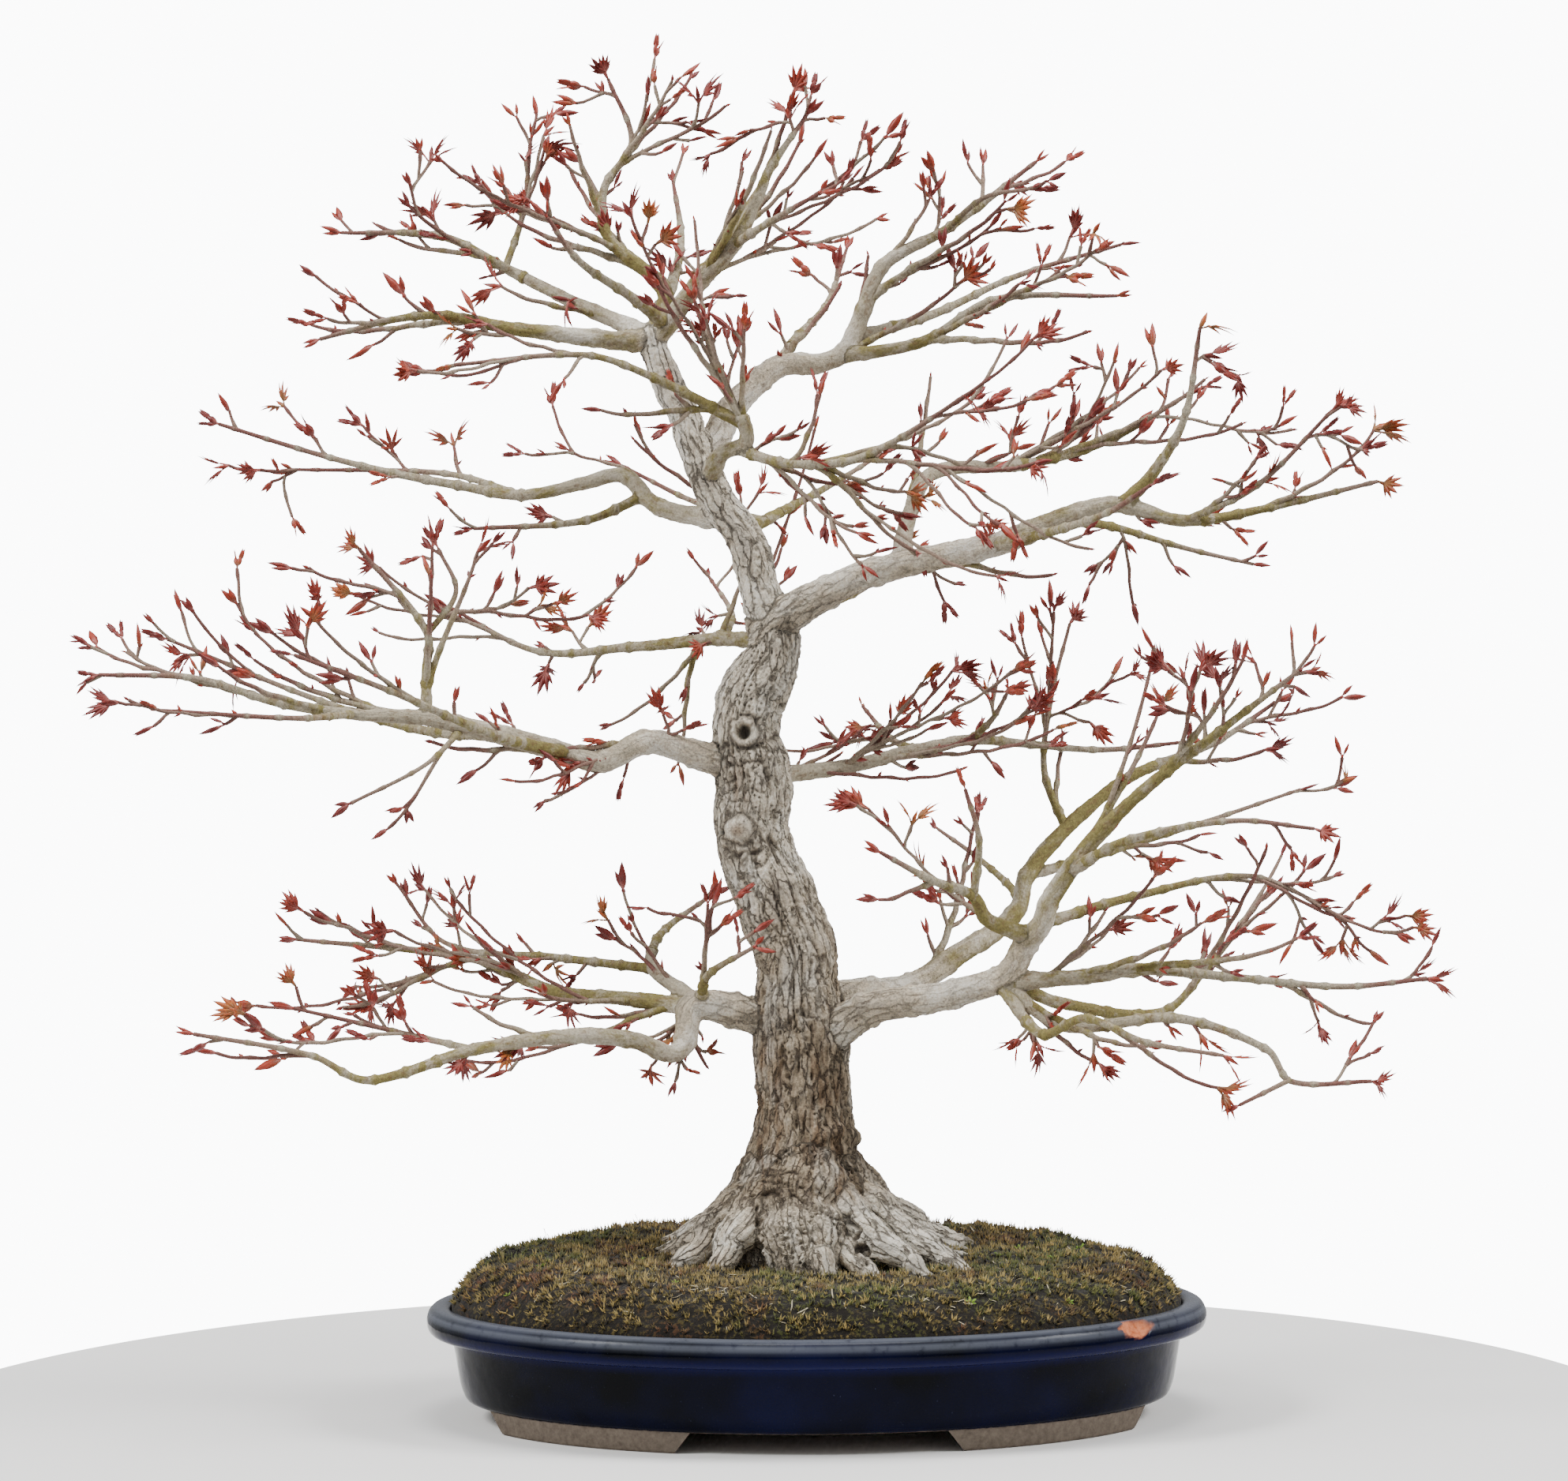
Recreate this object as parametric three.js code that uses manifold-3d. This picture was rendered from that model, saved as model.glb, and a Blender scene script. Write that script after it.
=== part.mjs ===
// A Japanese maple bonsai in an oval glazed pot, in bud.
// Millimetres, +Z up. Origin: on the surface it stands on, under the middle of the whole.
import * as THREE from "three";
import { mergeVertices } from "three/addons/utils/BufferGeometryUtils.js";
import Module from "manifold-3d";

const wasm = await Module();
wasm.setup();
const { Manifold, Mesh } = wasm;

// Pot
const potLength = 394;
const potWidth = 300;
const potHeight = 57.5;
const footHeight = 10;
const footInset = 21;
const footThickness = 15;
const footGapAlong = 118;
const footGapAcross = 100;
const floorThickness = 9;
const potFloor = footHeight + floorThickness;
const rimWidth = 12;
const drainRadius = 14;
const drainSpacing = 160;
const tieHoleRadius = 3;
const tieHoleSpacing = { x: 70, y: 90 };
const potSides = 48;

// The outside of the pot: how far in from the edge of the rim, and how high.
const outerProfile = [
  [28, 10], [22, 10.5], [18, 14], [16.5, 19], [13, 40], [12, 43.5], [3.5, 43.5], [1, 45.5],
  [0, 49.5], [0.8, 54], [3.4, 56.8], [6, potHeight], [rimWidth - 1, potHeight],
];

// The inside of the pot, from the floor up past the rim.
const innerProfile = [
  [32, potFloor], [26, potFloor + 2], [22, potFloor + 9], [19, 44], [15, 53],
  [rimWidth, potHeight], [rimWidth, 100],
];

// Drain screens and the wire staples that hold them
const meshPitch = 11;
const meshBar = 2;
const meshCells = 4;
const screenThickness = 1;
const stapleWire = 1.2;
const stapleFoot = 22;
const screenRoom = [54, 50, 8];

// Soil and moss
const moundEdge = 57;
const moundTop = 77;
const moundSlope = 0.05;
const mossThickness = 5;
const moundRings = 6;
const moundSides = 28;

// Every pair of neighbours is kept apart by this much
const gap = 0.3;

// Seams between crossing limbs are smoothed this finely
const seam = 0.12;

// Leaves
const leafLength = 15;
const leafWidth = 4.6;
const leafSpread = 0.42;

// Twigs near the end of each limb
const twigLength = 46;
const twigSpread = 0.9;
const twigRise = 0.35;
const twigRadius = 0.8;

// How many flats each thickness of wood is drawn with
const boleSides = 14;
const limbSides = 6;
const branchSides = 4;
const twigSides = 3;
const limbRadius = 4;

// The limbs are laid out on the front elevation as an eye sees them from this place.
const eye = { x: -13.8, z: 340.7, distance: 2108, tilt: 0.009 };

// Trunk from the root ball to the fork of the crown: across, back, up, radius.
const trunk = [
  [1, 0, 44, 27], [1, 0, 66, 36], [0, 0, 80, 40], [-2, 0, 94, 40], [-3, 0, 109, 36], [-5, 0, 124, 30],
  [-3, 0, 140, 27], [-3, 0, 156, 24.4], [-4, 0, 172, 24.4], [-5, 0, 190, 25], [-7, 0, 206, 22.6],
  [-7, 1, 220, 20.2], [-7, 2, 230, 20.8], [-10, 3, 241, 20.4], [-15, 4, 252, 20.4], [-19, 4, 264, 20.4],
  [-25, 4, 278, 19.4], [-29, 3, 290, 18.8], [-30, 2, 303, 19.4], [-29, 0, 318, 19.4],
  [-31, -1, 330, 19], [-33, -2, 341, 16.8], [-33, -2, 352, 16.4], [-30, -2, 364, 17],
  [-25, -3, 374, 16.2], [-20, -5, 385, 13.4], [-19, -6, 396, 12.6], [-24, -6, 409, 11.2],
  [-28, -6, 422, 9.8], [-31, -7, 436, 10.2], [-36, -8, 447, 9.4], [-44, -9, 457, 9],
  [-50, -10, 467, 8.5], [-55, -11, 478, 8.6], [-60, -12, 492, 8.4], [-65, -12, 507, 8],
  [-72, -12, 520, 7.8], [-77, -12, 533, 7.2], [-81, -12, 545, 6.6],
];

// The trunk stands in the moss up to its twelfth ring, and its limbs begin above the tenth.
const stumpRings = 12;
const boleFrom = 9;

// Surface roots: the bearing of each from the right-hand side, and how far out it dives into the soil.
const roots = [
  { bearing: -24, reach: 84, radius: 11 }, { bearing: -42, reach: 78, radius: 10 },
  { bearing: -66, reach: 70, radius: 11 }, { bearing: -84, reach: 62, radius: 9 },
  { bearing: -103, reach: 66, radius: 12 }, { bearing: -128, reach: 66, radius: 11 },
  { bearing: -150, reach: 74, radius: 11 }, { bearing: 172, reach: 72, radius: 10 },
  { bearing: 140, reach: 72, radius: 11 }, { bearing: 108, reach: 66, radius: 12 },
  { bearing: 74, reach: 68, radius: 11 }, { bearing: 40, reach: 74, radius: 12 },
  { bearing: 8, reach: 80, radius: 10 },
];

// Limbs: each line is one run of wood, as across, back, up, radius.
const limbs = {
  lowerLeft: [
    [[-12, 0, 196, 11], [-35, -4, 203, 8.8], [-49, -8, 206, 8], [-61, -11, 205, 6.6],
      [-64, -15, 188, 5.6], [-71, -22, 182, 4.6], [-91, -34, 189, 4.2], [-123, -50, 191, 3.8],
      [-171, -66, 184, 3], [-211, -76, 171, 2.4], [-229, -80, 169, 2], [-253, -84, 181, 1.5],
      [-313, -90, 192, 1]],
    [[-55, -9, 205, 5], [-95, 6, 210, 3.8], [-131, 26, 214, 3.2], [-171, 44, 230, 2.3],
      [-261, 62, 240, 1]],
    [[-57, -8, 208, 4.2], [-80, 14, 225, 3.4], [-80, 34, 236, 2.6], [-73, 62, 246, 2], [-51, 96, 262, 1]],
    [[-80, 14, 225, 2.6], [-131, 50, 231, 2], [-185, 84, 238, 1.4], [-210, 92, 268, 0.9]],
    [[-56, -8, 208, 3], [-52, -34, 222, 2], [-29, -62, 236, 1]],
    [[-171, -66, 184, 2], [-205, -40, 192, 1.4], [-262, -44, 205, 0.9]],
  ],
  lowerRightFront: [
    [[2, -4, 186, 13], [21, -14, 200, 9.6], [33, -22, 206, 8.4], [61, -34, 210, 7.4], [85, -44, 216, 7],
      [99, -50, 222, 6.6], [109, -56, 238, 6], [117, -62, 248, 5.4], [121, -66, 260, 5],
      [141, -74, 288, 4], [169, -82, 316, 3], [205, -86, 344, 2.2], [247, -88, 376, 1]],
    [[97, -50, 218, 4.6], [149, -60, 222, 3.4], [165, -62, 225, 3], [221, -64, 220, 2],
      [269, -62, 216, 1.6], [312, -60, 220, 1]],
    [[103, -52, 218, 3.6], [125, -30, 208, 3], [177, -8, 203, 2.4], [201, 2, 226, 1.8], [231, 8, 264, 1]],
    [[97, -50, 217, 3.6], [129, -66, 196, 3], [185, -84, 200, 2.4], [231, -92, 184, 1.8],
      [243, -94, 168, 1.5], [284, -98, 168, 1]],
    [[243, -94, 169, 1.4], [217, -100, 156, 0.9]],
    [[96, -49, 216, 3.2], [117, -80, 192, 2.6], [139, -104, 200, 2], [169, -116, 188, 1.5],
      [209, -120, 181, 0.9]],
    [[110, -57, 242, 4.4], [89, -76, 250, 3.4], [82, -84, 262, 2.8], [61, -96, 270, 2],
      [35, -104, 284, 1]],
    [[82, -84, 260, 2.4], [85, -92, 290, 1.7], [78, -96, 316, 1]],
    [[131, -70, 274, 3], [160, -106, 290, 2.2], [214, -128, 300, 1.4], [255, -134, 296, 0.9]],
    [[117, -62, 248, 3], [165, -30, 262, 2.2], [222, -16, 272, 1.4], [262, -12, 256, 0.9]],
  ],
  lowerRightRear: [
    [[0, 4, 208, 10], [22, 16, 213, 7.4], [49, 32, 216, 6.6], [77, 48, 234, 5.6], [93, 58, 244, 5.2],
      [105, 66, 256, 4.8], [109, 72, 272, 4.4], [129, 84, 296, 3.8], [161, 98, 322, 3],
      [205, 110, 340, 2], [235, 116, 360, 1]],
    [[109, 72, 272, 3], [150, 108, 284, 2.2], [201, 134, 300, 1.4], [248, 146, 316, 0.9]],
    [[100, 62, 250, 3], [104, 106, 262, 2.4], [86, 146, 280, 1.6], [64, 168, 296, 0.9]],
    [[129, 84, 296, 2.6], [118, 96, 326, 1.8], [122, 100, 364, 1.2], [131, 102, 400, 0.9]],
  ],
  midLeft: [
    [[-26, -1, 328, 10.5], [-49, -6, 331, 8.4], [-59, -10, 334, 7], [-83, -18, 340, 6.2],
      [-107, -26, 330, 5.7], [-123, -30, 334, 5.2], [-155, -34, 343, 4.8], [-195, -36, 352, 4],
      [-231, -36, 354, 3], [-271, -34, 360, 2.2], [-311, -32, 372, 1.6], [-361, -30, 374, 1]],
    [[-195, -36, 352, 3], [-195, -34, 376, 2.4], [-195, -34, 396, 2], [-229, -38, 438, 0.9]],
    [[-195, -34, 394, 1.8], [-180, -28, 416, 1.4], [-189, -24, 438, 0.9]],
    [[-123, -30, 334, 3.4], [-162, -74, 344, 2.4], [-214, -104, 366, 1.6], [-262, -120, 384, 0.9]],
    [[-155, -34, 343, 3.2], [-198, 10, 346, 2.4], [-252, 36, 362, 1.6], [-326, 44, 392, 0.9]],
    [[-231, -36, 354, 2], [-262, -72, 352, 1.4], [-330, -84, 356, 0.9]],
    [[-177, -36, 346, 1.8], [-196, -50, 328, 1.2], [-233, -58, 309, 0.9]],
  ],
  midRight: [
    [[-30, 0, 322, 8], [-9, 14, 324, 4.4], [21, 36, 328, 3.8], [53, 58, 336, 3.2], [81, 76, 341, 2.8],
      [109, 92, 339, 2.2], [147, 108, 336, 1.6], [190, 118, 340, 0.9]],
    [[53, 58, 336, 2.4], [40, 96, 342, 1.8], [26, 128, 358, 0.9]],
    [[81, 76, 341, 2.2], [92, 46, 352, 1.5], [100, 20, 366, 0.9]],
  ],
  upperRight: [
    [[-24, -6, 396, 12], [-7, -12, 408, 9.6], [9, -18, 416, 8], [25, -24, 424, 7.2],
      [61, -36, 433, 6.4], [93, -44, 440, 6], [141, -54, 458, 4.8], [157, -56, 460, 4.2],
      [189, -58, 452, 3], [229, -58, 458, 2], [287, -56, 472, 1]],
    [[157, -56, 460, 3.6], [173, -62, 476, 3], [189, -70, 504, 2], [197, -76, 550, 1]],
    [[45, -30, 430, 5], [49, -18, 452, 4.2], [61, -4, 476, 3.6], [105, 20, 480, 2.8], [149, 34, 492, 2],
      [191, 40, 516, 1]],
    [[93, -44, 440, 3.4], [120, -84, 446, 2.4], [150, -118, 456, 1.6], [172, -138, 470, 0.9]],
    [[120, -50, 451, 3], [148, -14, 450, 2.2], [190, 6, 438, 1.4], [224, 10, 430, 0.9]],
    [[189, -58, 452, 2], [226, -84, 470, 1.5], [264, -96, 508, 0.9]],
  ],
  upperLeft: [
    [[-42, -8, 455, 7], [-55, 0, 454, 5], [-79, 12, 460, 4.4], [-95, 22, 475, 4], [-115, 32, 471, 3.4],
      [-147, 44, 465, 2.8], [-179, 54, 470, 2.4], [-211, 62, 476, 2], [-251, 70, 486, 1.4],
      [-300, 76, 501, 1]],
    [[-86, 16, 464, 2.8], [-115, 2, 452, 2], [-171, -20, 448, 0.9]],
    [[-147, 44, 465, 2.2], [-186, 88, 476, 1.6], [-262, 108, 478, 0.9]],
  ],
  rearMiddle: [
    [[-20, -4, 388, 8], [-24, 22, 391, 4.6], [-48, 58, 392, 3.6], [-92, 96, 388, 2.6],
      [-139, 122, 386, 1.8], [-183, 136, 408, 0.9]],
    [[-30, 32, 391, 3.2], [-10, 84, 402, 2.4], [24, 124, 416, 1.6], [52, 146, 436, 0.9]],
    [[-48, 58, 392, 2.6], [-40, 108, 404, 1.8], [-52, 152, 424, 0.9]],
    [[-32, -4, 442, 7], [-34, 22, 446, 4], [-20, 62, 454, 3], [6, 98, 468, 2], [36, 124, 486, 0.9]],
    [[-24, 50, 452, 2.4], [-60, 94, 462, 1.6], [-96, 118, 480, 0.9]],
  ],
  rightLeader: [
    [[-58, -11, 480, 8], [-49, -4, 492, 7.6], [-41, 2, 508, 7.2], [-17, 12, 530, 6], [5, 18, 532, 5.2],
      [17, 20, 538, 4.8], [27, 22, 560, 4.2], [37, 24, 582, 3.6], [69, 28, 600, 2.4], [114, 30, 634, 1]],
    [[14, 20, 535, 3.8], [57, 6, 543, 2.8], [93, -6, 564, 2], [155, -14, 566, 0.9]],
    [[20, 21, 545, 3.2], [60, 48, 556, 2.4], [104, 66, 576, 1.6], [157, 74, 592, 0.9]],
    [[-17, 12, 530, 3.4], [-8, 52, 544, 2.6], [8, 88, 562, 1.8], [18, 112, 590, 0.9]],
    [[69, 28, 600, 1.8], [88, 0, 616, 1.3], [110, -16, 620, 0.9]],
  ],
  crown: [
    [[-81, -12, 545, 6], [-91, -14, 543, 5.2], [-123, -20, 546, 4.2], [-155, -26, 550, 3.2],
      [-187, -30, 556, 2.4], [-211, -32, 554, 1.8], [-249, -34, 544, 1]],
    [[-82, -12, 546, 5], [-119, 4, 562, 3.4], [-155, 18, 580, 2.6], [-187, 26, 596, 2],
      [-238, 34, 598, 0.9]],
    [[-80, -12, 542, 5.6], [-71, -16, 554, 5], [-61, -20, 568, 4.6], [-39, -26, 592, 3.6],
      [-27, -28, 616, 3], [-21, -30, 630, 2.4], [-2, -32, 658, 1]],
    [[-80, -12, 546, 5], [-74, -6, 568, 4], [-103, 0, 596, 3], [-105, 4, 620, 2.2], [-91, 6, 644, 1.6],
      [-103, 8, 676, 0.9]],
    [[-78, -10, 556, 4], [-70, 28, 574, 3], [-66, 58, 596, 2], [-70, 78, 624, 0.9]],
    [[-74, -15, 552, 3.6], [-92, -46, 566, 2.6], [-118, -70, 584, 1.8], [-134, -84, 606, 0.9]],
    [[-39, -26, 592, 2.6], [-20, -56, 604, 1.8], [4, -76, 618, 0.9]],
    [[-60, -18, 570, 3], [-40, 20, 600, 2.2], [-22, 44, 628, 0.9]],
    [[-155, 18, 580, 2], [-146, 34, 608, 1.5], [-142, 40, 646, 0.9]],
  ],
  frontStub: [
    [[-52, -14, 474, 5], [-45, -28, 486, 4], [-33, -38, 492, 3.6], [-35, -42, 506, 3.6]],
    [[-36, -40, 502, 3], [-83, -54, 526, 2], [-115, -60, 536, 1.6], [-181, -70, 531, 0.9]],
    [[-40, -32, 489, 3], [-11, -50, 481, 2.4], [25, -62, 484, 2], [77, -74, 514, 0.9]],
  ],
};

// Most tips carry a leaf pair. The buds of every fifth have not opened.
const leafTips = Object.values(limbs).flat()
  .filter((run) => run.at(-1)[3] <= 1)
  .filter((_, i) => i % 5 !== 4);

// A point of the front elevation at its depth, as a place in space.
function place([x, y, z]) {
  const nearness = 1 + y / eye.distance;
  const across = x - eye.x + eye.tilt * (z - eye.z);
  const up = z - eye.z - eye.tilt * (x - eye.x);
  return new THREE.Vector3(eye.x + across * nearness, y, eye.z + up * nearness);
}

function solidFrom(geometry) {
  const bare = geometry.clone();
  bare.deleteAttribute("normal");
  bare.deleteAttribute("uv");
  const merged = mergeVertices(bare, 1e-4);
  const triVerts = new Uint32Array(merged.index.array);
  const vertProperties = merged.attributes.position.array;
  return new Manifold(new Mesh({ numProp: 3, vertProperties, triVerts }));
}

// The largest body of a solid, without loose crumbs or the pockets sealed between crossing roots.
function wholeOf(solid) {
  const bodies = solid.decompose();
  return bodies.reduce((most, other) => (other.volume() > most.volume() ? other : most)).simplify(seam);
}

function geometryFrom(solid) {
  const mesh = solid.getMesh();
  const geometry = new THREE.BufferGeometry();
  geometry.setAttribute("position", new THREE.BufferAttribute(mesh.vertProperties, 3));
  geometry.setIndex(new THREE.BufferAttribute(mesh.triVerts, 1));
  geometry.computeVertexNormals();
  return geometry;
}

// A closed skin over a stack of rings, with a flat fan at either end.
function skin(rings) {
  const count = rings[0].length;
  const positions = rings.flat().flatMap((point) => point.toArray());
  const faces = [];
  rings.slice(1).forEach((_, level) => {
    for (let i = 0; i < count; i += 1) {
      const a = level * count + i;
      const b = level * count + ((i + 1) % count);
      faces.push(a, b, b + count, a, b + count, a + count);
    }
  });
  [0, rings.length - 1].forEach((level) => {
    const middle = new THREE.Vector3();
    rings[level].forEach((point) => middle.addScaledVector(point, 1 / count));
    const centre = positions.length / 3;
    positions.push(...middle.toArray());
    for (let i = 0; i < count; i += 1) {
      const a = level * count + i;
      const b = level * count + ((i + 1) % count);
      faces.push(...(level === 0 ? [centre, b, a] : [centre, a, b]));
    }
  });
  const geometry = new THREE.BufferGeometry();
  geometry.setAttribute("position", new THREE.Float32BufferAttribute(positions, 3));
  geometry.setIndex(faces);
  return geometry;
}

// A ring of the oval, this far in from the outer edge of the rim.
function ovalRing(inset, z, sides) {
  return Array.from({ length: sides }, (_, i) => {
    const angle = (i / sides) * 2 * Math.PI;
    const x = (potLength / 2 - inset) * Math.cos(angle);
    const y = (potWidth / 2 - inset) * Math.sin(angle);
    return new THREE.Vector3(x, y, z);
  });
}

function ovalSolid(levels) {
  return solidFrom(skin(levels.map(([inset, z]) => ovalRing(inset, z, potSides))));
}

function boxAt(size, centre) {
  const geometry = new THREE.BoxGeometry(...size);
  geometry.translate(...centre);
  return solidFrom(geometry);
}

function rodAt(radius, x, y, from, to) {
  const geometry = new THREE.CylinderGeometry(radius, radius, to - from, 24);
  geometry.rotateX(Math.PI / 2);
  geometry.translate(x, y, (from + to) / 2);
  return solidFrom(geometry);
}

// Round wood or wire through a list of points, each with its radius. `grow` fattens it all round.
function roundRun(points, sides, grow = 0) {
  const centres = points.map(([x, y, z]) => new THREE.Vector3(x, y, z));
  const curve = new THREE.CatmullRomCurve3(centres, false, "centripetal");
  const last = points.length - 1;
  let side = new THREE.Vector3(0.3, 1, 0.2);
  return solidFrom(skin(points.map((point, i) => {
    const middle = curve.getPoint(i / last);
    const along = curve.getTangent(i / last);
    if (i === 0) middle.addScaledVector(along, -grow);
    if (i === last) middle.addScaledVector(along, grow);
    side = side.clone().addScaledVector(along, -side.dot(along)).normalize();
    const other = new THREE.Vector3().crossVectors(along, side);
    return Array.from({ length: sides }, (_, k) => {
      const angle = (k / sides) * 2 * Math.PI;
      return middle.clone()
        .addScaledVector(side, (point[3] + grow) * Math.cos(angle))
        .addScaledVector(other, (point[3] + grow) * Math.sin(angle));
    });
  })));
}

function placedRun(run) {
  return run.map((point) => [...place(point).toArray(), point[3]]);
}

// Pot: body, rolled rim and four corner feet, with drain and tie holes.
function makePot() {
  const body = ovalSolid(outerProfile);
  const hollow = ovalSolid(innerWall(0));
  const ring = ovalSolid([[footInset + 1, 0], [footInset, 1], [footInset - 1, footHeight + 1]]);
  const footInside = footInset + footThickness;
  const core = ovalSolid([[footInside, -1], [footInside, footHeight + 2]]);
  const gapAlong = boxAt([footGapAlong, potWidth, 2 * footHeight], [0, 0, 0]);
  const gapAcross = boxAt([potLength, footGapAcross, 2 * footHeight], [0, 0, 0]);
  const feet = ring.subtract(core).subtract(gapAlong).subtract(gapAcross);
  const through = footHeight + 3 * floorThickness;
  const holes = [-1, 1].flatMap((side) => [
    rodAt(drainRadius, (side * drainSpacing) / 2, 0, 0, through),
    rodAt(tieHoleRadius, (side * tieHoleSpacing.x) / 2, tieHoleSpacing.y / 2, 0, through),
    rodAt(tieHoleRadius, (side * tieHoleSpacing.x) / 2, -tieHoleSpacing.y / 2, 0, through),
  ]);
  return body.subtract(hollow).add(feet).subtract(Manifold.union(holes));
}

// The inside of the pot as levels, drawn in by a clearance, its floor raised by as much.
function innerWall(clearance) {
  return innerProfile.map(([inset, z], i) => [inset + clearance, i < 3 ? z + clearance : z]);
}

function makeScreen(x) {
  const side = meshCells * meshPitch + meshBar;
  const opening = meshPitch - meshBar;
  const z = potFloor + gap + screenThickness / 2;
  const openings = [];
  for (let row = 0; row < meshCells; row += 1) {
    for (let column = 0; column < meshCells; column += 1) {
      const u = (column - (meshCells - 1) / 2) * meshPitch;
      const v = (row - (meshCells - 1) / 2) * meshPitch;
      openings.push(boxAt([opening, opening, 3 * screenThickness], [x + u, v, z]));
    }
  }
  return boxAt([side, side, screenThickness], [x, 0, z]).subtract(Manifold.union(openings));
}

// A staple straddles the middle bar of a screen and turns out under the pot.
function makeStaple(x) {
  const radius = stapleWire / 2;
  const top = potFloor + gap + screenThickness + gap + radius;
  const bottom = footHeight - gap - radius;
  const leg = meshPitch / 2;
  const y = meshPitch / 2;
  const half = [
    [leg - 1, top], [leg, top - 1], [leg, bottom + 1.5], [leg + 1.5, bottom], [stapleFoot, bottom],
  ];
  const points = [
    ...half.map(([u, z]) => [x - u, y, z, radius]).reverse(),
    ...half.map(([u, z]) => [x + u, y, z, radius]),
  ];
  return roundRun(points, 6);
}

// The mound of soil and moss: flat-topped, lower in front, and steep at the edge of the pot.
function moundHeight(x, y) {
  const out = Math.min(1, Math.hypot(x / (potLength / 2 - rimWidth), y / (potWidth / 2 - rimWidth)));
  const crest = moundTop + moundSlope * y;
  return moundEdge + (crest - moundEdge) * (1 - out ** 5);
}

function moundSlab(drop, floor) {
  const rings = [];
  for (let i = moundRings; i >= 0; i -= 1) {
    const out = Math.max(Math.sin((i / moundRings) * (Math.PI / 2)), 0.01);
    rings.push(ovalRing(0, 0, moundSides).map((point) => {
      const x = point.x * out;
      const y = point.y * out;
      return new THREE.Vector3(x, y, moundHeight(x, y) - drop);
    }));
  }
  const base = rings[0].map((point) => new THREE.Vector3(point.x, point.y, floor));
  return solidFrom(skin([base, ...rings]));
}

function makeRoot({ bearing, reach, radius }, grow) {
  const angle = THREE.MathUtils.degToRad(bearing);
  const at = (out, z, r) => [out * Math.cos(angle), out * Math.sin(angle), z, r];
  const surface = moundHeight(...at(reach, 0, 0).slice(0, 2));
  const points = [
    at(8, 132, radius * 0.8), at(26, 112, radius * 1.1), at(reach * 0.56, 92, radius * 1.1),
    at(reach * 0.8, 80, radius * 0.9), at(reach, surface - 4, radius * 0.7),
    at(reach * 1.16, surface - 16, radius * 0.5),
  ];
  return roundRun(points, 6, grow);
}

// The part of the wood that stands in the soil and moss.
function makeStump(grow) {
  const core = roundRun(trunk.slice(0, stumpRings), boleSides, grow);
  return Manifold.union([core, ...roots.map((root) => makeRoot(root, grow))]);
}

function makeWood() {
  const bole = roundRun(placedRun(trunk.slice(boleFrom)), boleSides);
  const runs = Object.values(limbs).flat();
  const wood = runs.map((run) => roundRun(placedRun(run), run[0][3] > limbRadius ? limbSides : branchSides));
  const twigs = runs.flatMap((run) => sideTwigs(run)).map((twig) => roundRun(twig, twigSides));
  return wholeOf(Manifold.union([makeStump(0), bole, ...wood, ...twigs]));
}

// Near its tip a limb sends out an opposite pair of twigs, as on every maple.
function sideTwigs(run) {
  const placed = placedRun(run);
  const [here, next] = placed.slice(-2).map((point) => new THREE.Vector3(...point));
  const along = next.clone().sub(here);
  const length = Math.min(along.length() * 0.9, twigLength);
  along.normalize();
  const side = new THREE.Vector3(-along.y, along.x, 0.25).normalize();
  return [-1, 1].map((sense) => {
    const lean = along.clone().addScaledVector(side, sense * twigSpread);
    lean.z += twigRise;
    const tip = here.clone().addScaledVector(lean.normalize(), length);
    return [[...here.toArray(), Math.min(placed.at(-2)[3] * 0.8, 1.4)], [...tip.toArray(), twigRadius]];
  });
}

// Two half-open leaves folded like fans, joined at the bud base, just clear of the twig's end.
function makeLeafPair(run) {
  const placed = placedRun(run);
  const tip = new THREE.Vector3(...placed.at(-1));
  const along = tip.clone().sub(new THREE.Vector3(...placed.at(-2))).normalize();
  const profile = [[0, 0], [1, 0], [leafWidth / 2, leafLength * 0.55], [0, leafLength]];
  const blades = [-1, 1].map((sense) => {
    const blade = new THREE.LatheGeometry(profile.map(([x, y]) => new THREE.Vector2(x, y)), 5);
    blade.rotateZ(sense * leafSpread);
    return solidFrom(blade);
  });
  const turn = new THREE.Quaternion().setFromUnitVectors(new THREE.Vector3(0, 1, 0), along);
  const pair = geometryFrom(Manifold.union(blades));
  const reach = gap + Math.sin(leafSpread);
  pair.applyQuaternion(turn).translate(...tip.addScaledVector(along, reach).toArray());
  return solidFrom(pair);
}

function addPiece(group, name, solid, colour, roughness, metalness = 0) {
  const material = new THREE.MeshStandardMaterial({ color: colour, roughness, metalness });
  const mesh = new THREE.Mesh(geometryFrom(solid), material);
  mesh.name = name;
  group.add(mesh);
}

const tree = new THREE.Group();
const cavity = ovalSolid(innerWall(gap));
const standing = makeStump(gap + seam);
const screenSpaces = [-1, 1].map((side) => boxAt(screenRoom, [(side * drainSpacing) / 2, 0, potFloor]));
const soil = moundSlab(mossThickness + gap, 0).intersect(cavity).subtract(standing)
  .subtract(Manifold.union(screenSpaces));
const moss = moundSlab(0, 30).subtract(moundSlab(mossThickness, 0)).intersect(cavity).subtract(standing);

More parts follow.
